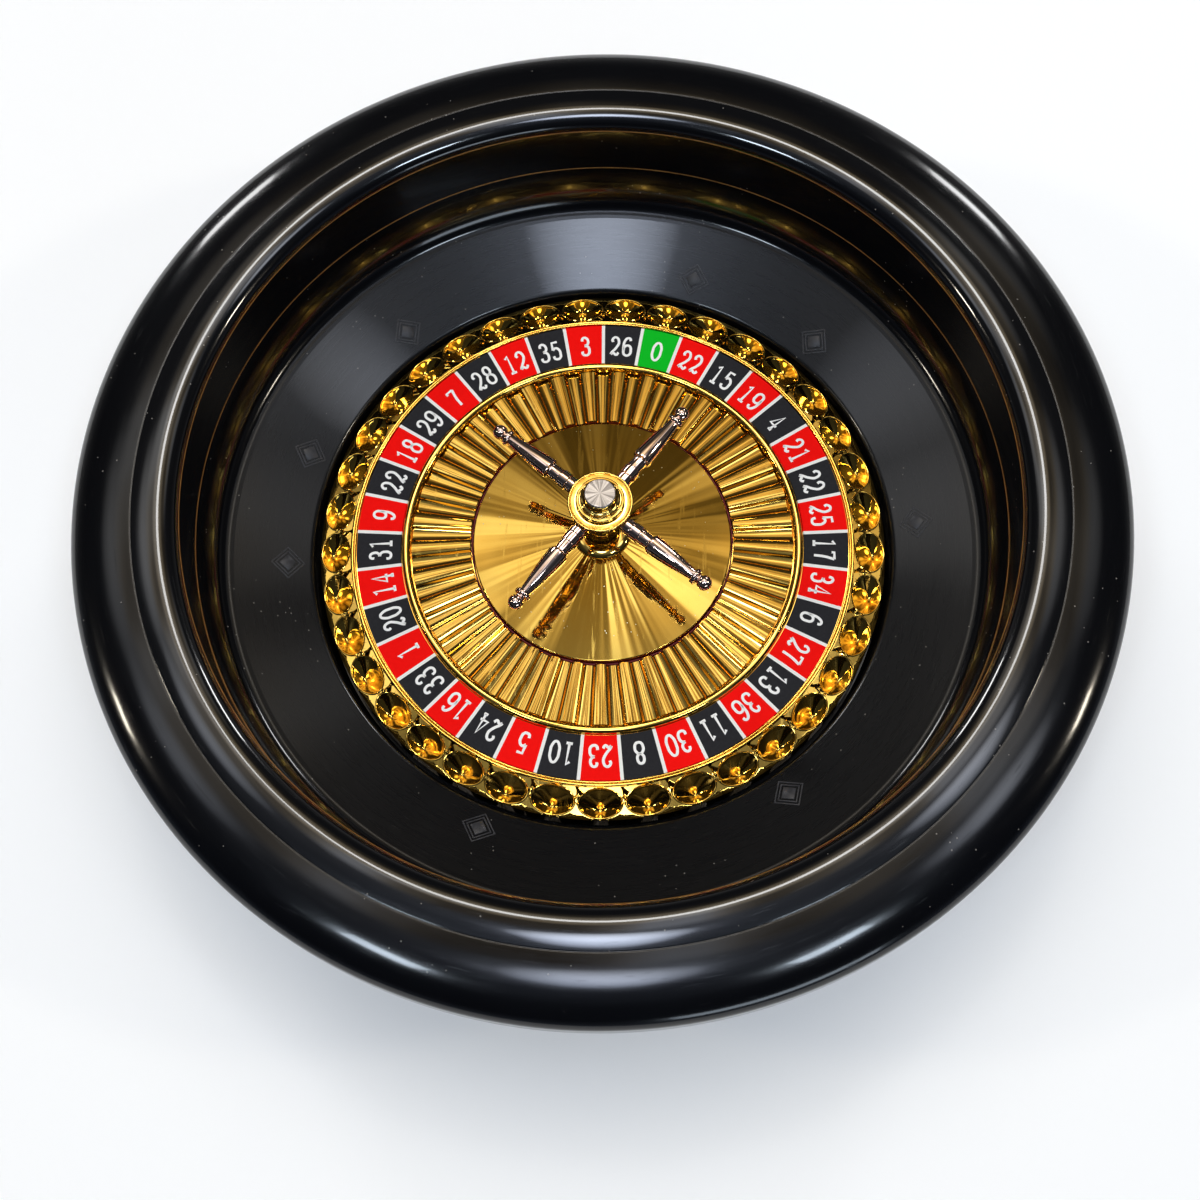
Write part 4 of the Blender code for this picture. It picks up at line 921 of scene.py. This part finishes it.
def rib_rise(part):
    """Height over the groove's edge, at a part of the pitch from the rib's middle."""
    away = abs(part)
    if away <= 0.225:
        return RIB_HEIGHT - (0.16 if away == 0.138 else 0) - 0.5 * (away / 0.225) ** 2
    if away <= 0.31:
        share = (away - 0.225) / 0.085
        return (RIB_HEIGHT - 0.5) * (1 - share * share * (3 - 2 * share))
    return -0.55 * math.sin((away - 0.31) / 0.19 * math.pi / 2) ** 0.8


def flute_height(radius, part):
    share = (FLUTE_OUTER - radius) / (FLUTE_OUTER - FLUTE_INNER)
    return FLUTE_OUTER_TOP + (FLUTE_INNER_TOP - FLUTE_OUTER_TOP) * share + rib_rise(part)


pick()
columns = len(FLUTE_LINES) - 1
bpy.ops.mesh.primitive_grid_add(x_subdivisions=FLUTE_ROWS, y_subdivisions=columns, size=1)
flutes = bpy.context.object
flutes.name = flutes.data.name = "flutes"
ends = (0.0, 0.012, 0.03, 0.5, 0.97, 0.988, 1.0)
for vert in flutes.data.vertices:
    share = ends[round((vert.co.x + 0.5) * FLUTE_ROWS)]
    part = FLUTE_LINES[round((vert.co.y + 0.5) * columns)]
    radius = FLUTE_INNER + (FLUTE_OUTER - FLUTE_INNER) * share
    height = flute_height(radius, part)
    if share in (0.0, 1.0):
        height -= 0.35
    turn = part * PITCH
    vert.co = Vector((radius * math.cos(turn), radius * math.sin(turn), height)) * MM
bpy.ops.object.mode_set(mode="EDIT")
bpy.ops.mesh.select_all(action="SELECT")
bpy.ops.mesh.spin(dupli=True, steps=CELLS - 1, angle=math.tau * (CELLS - 1) / CELLS, center=(0, 0, 0),
                  axis=(0, 0, 1))
bpy.ops.object.mode_set(mode="OBJECT")
weld(flutes)
for limit, wanted in ((FLUTE_OUTER, "outer"), (FLUTE_INNER, "inner")):
    choose(flutes, "EDGE", lambda middle: abs(math.hypot(middle.x, middle.y) / MM - limit) < 0.08)
    bpy.ops.mesh.extrude_edges_move()
    bpy.ops.transform.resize(value=(1, 1, 0), center_override=(0, 0, FLUTE_FOOT * MM))
    bpy.ops.object.mode_set(mode="OBJECT")
choose(flutes, "EDGE", lambda middle: middle.z / MM < FLUTE_FOOT + 0.01)
bpy.ops.mesh.bridge_edge_loops()
bpy.ops.object.mode_set(mode="OBJECT")
weld(flutes)
lay_down(flutes, Matrix.Rotation(ZERO_TURN, 4, "Z"))
smooth(flutes, 24)
show(flutes, flute_gold, "wheel_head", "fluted_gold", "fluted_ring")

# %% [markdown]
# ## Wheel head: the cone
# The cone is spun from sheet brass over a former and polished on the lathe, which leaves the fine
# rays that spread its reflections. Its foot stands in a dark red rubber ring, which keeps it from
# rattling.

# %% Cone
CONE_RADIUS, CONE_EDGE, CONE_HOLE, CONE_TOP, CONE_WALL = 65.9, 41.4, 8.2, 51.4, 1.5


def cone_height(radius):
    return CONE_EDGE + (CONE_RADIUS - radius) * (CONE_TOP - CONE_EDGE) / (CONE_RADIUS - CONE_HOLE)


cone_section = [(CONE_RADIUS, FLUTE_FOOT), (CONE_RADIUS, CONE_EDGE), (CONE_HOLE, CONE_TOP)]
cone_section += [(CONE_HOLE, CONE_TOP - CONE_WALL), (CONE_RADIUS - CONE_WALL, CONE_EDGE - CONE_WALL)]
cone_section += [(CONE_RADIUS - CONE_WALL, FLUTE_FOOT)]
cone = turn_piece("cone", cone_section, 240, edge=0.6, edge_steps=3)
show(cone, cone_gold, "wheel_head", "cone_gold", "rotor_cone")

seal_look = make_grained("red_rubber", (120, 14, 30), (84, 8, 24), 0.6)
seal = turn_piece("cone_seal", [(66.2, 34.6), (67.0, 34.6), (67.0, 39.0), (66.2, 39.0)], 192, edge=0.2)
show(seal, seal_look, "wheel_head", "cone_gold")

# %% [markdown]
# ## The turret
# The turret is a stack of turned brass pieces on one rod: a flared collar, a neck, a disc with four
# sockets, a stepped ring and a knob, with a spun steel disc let into the top.

# %% Turret stack
turret_gold = make_gold("polished_brass", (244, 208, 116), 0.05, ripple=0.00001)

collar = [(8.2, 53.4), (9.9, 53.4), (11.4, 53.2), (13.2, 52.7), (14.4, 51.9), (15.0, 51.1), (15.1, 50.4), (8.2, 51.7)]
show(turn_piece("turret_collar", collar, 120, edge=0.15), turret_gold, "wheel_head", "turret_gold", "turret_base")

neck = [(3.3, 53.5), (9.4, 53.5), (9.3, 54.6), (8.8, 56.0), (8.2, 57.6), (7.8, 59.4), (7.6, 61.0)]
neck += [(7.6, 62), (7.35, 62.4), (7.35, 63.4), (7.6, 63.8), (7.6, 74.3), (7.9, 75.6), (8.6, 76.6), (8.6, 77.3)]
neck += [(3.3, 77.3)]
show(turn_piece("turret_neck", neck, 96, edge=0.12), turret_gold, "wheel_head", "turret_gold", "turret_column")

disc = [(3.3, 77.6), (10.0, 77.6), (12.4, 78.9), (12.4, 86.6), (15.6, 86.6), (16, 87.0), (16, 88.0)]
disc += arc((15.35, 88.0), (0.65, 0.6), 0, 180, 8) + [(14.5, 88.0), (14.3, 88.35), (12.4, 88.45), (3.3, 88.45)]
show(turn_piece("turret_disc", disc, 120, edge=0.12), turret_gold, "wheel_head", "turret_gold", "turret_hub")

step = [(3.3, 88.9), (12, 88.9), *arc((11.2, 90.1), (0.8, 0.8), 0, 90, 6), (10.4, 90.9), (10.2, 91.3), (3.3, 91.3)]
show(turn_piece("turret_step", step, 120, edge=0.12), turret_gold, "wheel_head", "turret_gold", "turret_ring")

knob = [(3.3, 91.6), (9.5, 91.6), *arc((9.3, 92.2), (0.6, 0.6), -60, 75, 6), (8.6, 93.0), (8.1, 93.5), (7.9, 94.2)]
knob += [(7.9, 96.5), (7.6, 96.8), (0, 96.8), (0, 94.8), (3.3, 94.8)]
show(turn_piece("turret_knob_turned", knob, 120, edge=0.1), turret_gold, "wheel_head", "turret_gold", "turret_knob")


def make_spun_steel():
    """A disc that was polished while it turned. Its colour carries painted highlights: bright wedges from its middle
    to its edge.
    """
    look = Finish("spun_steel", Metallic=1.0)
    radius, turn, height = look.polar()
    flat = look.node("ShaderNodeCombineXYZ", inputs={"X": turn.maths("COSINE"), "Y": turn.maths("SINE")})
    # Painted highlight: the colour is lighter in wedges, by the angle round the axis.
    painted_highlight_wedge = look.ramp(look.noise(3.4, 4, vector=flat), (0.40, 0.25), (0.50, 0.45), (0.56, 1), (0.62, 0.5), (0.7, 0.9))
    look.set("Base Color", look.blend(painted_highlight_wedge, colour(86, 82, 80), colour(196, 190, 186)))
    groove = look.noise(5200, 1, vector=look.node("ShaderNodeCombineXYZ", inputs={"X": radius}))
    look.set("Roughness", 0.3 + groove * 0.1)
    look.bump(groove, 0.00002)
    return look.material


cap = [(0, 97.1), (7.6, 97.1), (7.6, 97.7), (7.2, 98.1), (0, 98.1)]
show(turn_piece("steel_disc", cap, 96, closed=False, edge=0.1), make_spun_steel(), "wheel_head", "cap_steel",
     "knob_cap")

# %% [markdown]
# ## Handles
# Each handle is turned from bar, plated with a chrome that has a rose tint, and pushed into its
# socket by a tenon. It has two collars with fine cuts between them, a neck, a long barrel that
# thins outwards, a ring and a ball.

# %% Handles
def make_rose_chrome():
    look = Finish("rose_chrome", Metallic=1.0)
    cloud = look.noise(90, 3)
    look.set("Base Color", look.blend(cloud, colour(240, 216, 202), colour(222, 190, 174)))
    scratch = look.noise(500, 2, stretch=(1, 1, 0.2))
    look.set("Roughness", 0.06 + look.ramp(scratch, (0.6, 0), (0.7, 1)) * 0.1)
    look.bump(look.noise(160, 2), 0.00003)
    return look.material


HANDLE_LEVEL = 82.6
handle_line = [(8.1, 0), (8.1, 2), (12.7, 2), (12.7, 3.5), (16.2, 3.5), (16.4, 4.0), (16.6, 4.15), (19.4, 4.15),
               (19.6, 4.0), (19.7, 3.6), (20.2, 3.6), (20.3, 4.2), (20.5, 4.4), (24.6, 4.4), (24.8, 4.2), (24.9, 3.7),
               (25.4, 3.7), (25.5, 3.9), (30.5, 3.7), (31.1, 4.0), (31.5, 4.7), (32.0, 5.1)]
handle_line += [(33.0, 5.15), (38, 4.9), (43, 4.45), (48, 3.85), (52, 3.3), (55, 2.95), (57.4, 2.75)]
handle_line += arc((58.7, 3.4), (1.3, 0.8), 180, 0, 8) + [(60.0, 2.3), (60.9, 2.3)]
handle_line += arc((63.9, 0), (3.8, 3.8), 140, 0, 12)
handle = turn_piece("handle", handle_line, 48, closed=False, axis=(1, 0, 0))
lay_down(handle, Matrix.Translation((0, 0, HANDLE_LEVEL * MM)))
around_axis(handle, 4, math.radians(51.2), "wheel_head", make_rose_chrome(), "handle_chrome", "turret_handle_{}")

# %% [markdown]
# ## Inside the head
# The bearing, the bush, the hub and its screws stay hidden while the wheel stands in its bowl.
# Their solids are right as they are, so they only get their finishes.

# %% Hidden pieces
cast = make_grained("cast_alloy", (150, 151, 154), (128, 129, 133), 0.42)
cast.node_tree.nodes["Principled BSDF"].inputs["Metallic"].default_value = 0.9
nylon = make_grained("bush_nylon", (206, 203, 190), (190, 187, 172), 0.5)
hidden = {cast: ["rotor_hub"], nylon: ["hub_bush"], steel: ["bearing_outer_ring", "bearing_cage", "turret_stud"]}
hidden[steel] += [f"hub_screw_{i}" for i in range(1, 5)]
for look, nodes in hidden.items():
    for node in nodes:
        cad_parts[node].data.materials.clear()
        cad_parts[node].data.materials.append(look)
print("hidden pieces:", sum(len(nodes) for nodes in hidden.values()))

# %% [markdown]
# ## Studio
# The wheel is black gloss and polished gold, so what it shows is mostly the room. The room is a
# dark hall that is a little lighter overhead. Above the wheel, where the cone and the handles look,
# hangs a bright round patch that is cut into wedges of light and dark. It draws the fans of light
# on the cone, and its middle draws the pale band along each handle. A smaller patch behind the
# camera draws the highlight on the far apron. The floor is white paper. It gives off a little
# light of its own to the camera and to mirrors only, so that it stays white and keeps its shadow,
# and it can be looked through from below. To the camera itself the room is plain white as well.

# %% Floor and room
bpy.ops.object.select_all(action="DESELECT")
bpy.ops.mesh.primitive_plane_add(size=8)
floor = bpy.context.object
floor.name = "floor"
paper = Finish("floor_paper", Roughness=0.9, Specular_IOR_Level=0.1)
fibres = paper.noise(400, 2)
paper.set("Base Color", paper.blend(fibres, colour(240, 240, 240), colour(245, 245, 244)))
light_path = paper.tree.nodes.new("ShaderNodeLightPath")
camera_ray, glossy_ray, clear_ray = (Wire(paper, light_path.outputs[f"Is {kind} Ray"])
                                     for kind in ("Camera", "Glossy", "Transmission"))
seen = camera_ray.maths("MAXIMUM", glossy_ray).maths("MAXIMUM", clear_ray)
paper.set("Emission Color", paper.blend(seen, (0, 0, 0, 1), colour(96, 96, 96)))
paper.shader.inputs["Emission Strength"].default_value = 1
below = paper.node("ShaderNodeNewGeometry", output="Backfacing")
paper.feed(paper.tree.nodes["Material Output"].inputs["Surface"], paper.node("ShaderNodeMixShader", inputs={
    0: below, 1: Wire(paper, paper.shader.outputs[0]), 2: paper.node("ShaderNodeBsdfTransparent")}))
floor.data.materials.append(paper.material)

world = bpy.data.worlds.new("room")
bpy.context.scene.world = world
world.use_nodes = True
room = Net(world.node_tree)
way = room.node("ShaderNodeTexCoord", output="Generated")
split = room.tree.nodes.new("ShaderNodeSeparateXYZ")
room.feed(split.inputs[0], way)
parts = [Wire(room, split.outputs[i]) for i in range(3)]


def aim(turn, rise):
    """The direction with this turn and rise, in degrees."""
    turn, rise = math.radians(turn), math.radians(rise)
    return Vector((math.cos(turn) * math.cos(rise), math.sin(turn) * math.cos(rise), math.sin(rise)))


def along(axis):
    """How far the looked-at direction points along an axis."""
    return parts[0] * axis.x + parts[1] * axis.y + parts[2] * axis.z


def patch(turn, rise, inner, outer):
    """1 within the inner angle of a direction, 0 beyond the outer one."""
    return room.ramp(along(aim(turn, rise)), (math.cos(math.radians(outer)), 0), (math.cos(math.radians(inner)), 1))


fan_axis = aim(91, 66)
side = fan_axis.cross(Vector((0, 0, 1))).normalized()
u, v = along(side), along(fan_axis.cross(side))
reach = (u * u + v * v + 0.0001).maths("SQRT")
fan = room.node("ShaderNodeCombineXYZ", inputs={"X": u / reach, "Y": v / reach})
fans = room.ramp(room.node("ShaderNodeTexNoise", inputs={"Vector": fan, "Scale": 2.1, "Detail": 1.0}),
                 (0.4, 0.08), (0.47, 0.3), (0.53, 0.7), (0.58, 1))
near_axis = patch(91, 66, 23, 28)
level = room.ramp(parts[2], (0.0, 0.25), (0.1, 0.2), (0.24, 0.08), (0.4, 0.03), (0.8, 0.05), (0.93, 0.2), (1, 0.35))
level = level * (1 - near_axis * 0.75) + near_axis * fans * room.ramp(parts[2], (0.66, 0.2), (0.95, 1)) * 2.0
level = level + patch(91, 66, 8, 17) * 1.2 + patch(-95, 80, 1, 7) * 16
level = level + patch(5, 64, 1, 7) * 4.5 + patch(147, 53, 1, 8) * 1.3 + patch(165, 62, 1, 7) * 2
level = level + patch(36, 54, 1, 8) * 0.8 + patch(60, 45, 1, 6) * 0.6
sky = room.blend(room.ramp(parts[1] * 0.5 + 0.5, (0.35, 0), (0.7, 1)), colour(214, 228, 255), colour(252, 251, 250))
sky = room.blend(near_axis * (1 - fans), sky, colour(255, 226, 172))
in_view = Wire(room, room.tree.nodes.new("ShaderNodeLightPath").outputs["Is Camera Ray"])
room.feed(room.tree.nodes["Background"].inputs["Color"], room.blend(in_view, sky, (1, 1, 1, 1)))
room.feed(room.tree.nodes["Background"].inputs["Strength"], level * (1 - in_view) + in_view * 0.94)

# %% [markdown]
# The lamps are small and far away, which is what draws the thin bright lines on the bowl's crest.
# The last one is a large soft lamp that no mirror shows. It only brings the print and the paper up
# to their own colours.

# %% Lamps
LAMP_DISTANCE = 6.0


def add_lamp(name, turn, rise, wide, tall, level, tone, mirrored=True):
    """A flat lamp by its direction and its size, all in degrees. Level is its brightness, 1 being white."""
    way = aim(turn, rise)
    bpy.ops.object.light_add(type="AREA", location=way * LAMP_DISTANCE + Vector((0, 0, 0.05)))
    lamp = bpy.context.object
    lamp.name = name
    lamp.rotation_euler = way.to_track_quat("Z", "Y").to_euler()
    lamp.data.shape = "RECTANGLE"
    lamp.data.size = 2 * LAMP_DISTANCE * math.tan(math.radians(wide / 2))
    lamp.data.size_y = 2 * LAMP_DISTANCE * math.tan(math.radians(tall / 2))
    lamp.data.energy = 4 * level * lamp.data.size * lamp.data.size_y
    lamp.data.color = colour(*tone)[:3]
    lamp.visible_camera = False
    lamp.visible_glossy = mirrored
    return lamp


COOL, PLAIN, WARM = (224, 240, 255), (255, 255, 255), (255, 244, 224)
LAMPS = (
    (91, 67, 7, 6, 8, PLAIN), (-134, 60, 8, 5, 20, COOL), (-46, 60, 8, 5, 20, COOL), (-65, 15, 30, 10, 4, COOL),
    (-2, 34, 5, 4, 36, WARM), (182, 34, 5, 4, 36, WARM), (58, 24, 8, 6, 14, PLAIN), (124, 24, 8, 6, 14, PLAIN),
    (91, 72, 50, 50, 1.0, PLAIN, False),
)
for i, values in enumerate(LAMPS):
    add_lamp(f"lamp_{i + 1}", *values)
print("lamps:", len(LAMPS))

# %% [markdown]
# ## Camera
# The photograph looks down at the wheel from in front of it, about 20 degrees off the vertical.

# %% Camera
bpy.ops.object.camera_add(location=(0.015, -0.314, 0.789))
camera = bpy.context.object
tilt, swing = Matrix.Rotation(math.radians(20.58), 4, "X"), Matrix.Rotation(math.radians(1.13), 4, "Y")
camera.matrix_world = Matrix.Translation(camera.location) @ tilt @ swing
camera.data.lens = 47.55
scene = bpy.context.scene
scene.camera = camera
scene.view_settings.view_transform = "Standard"
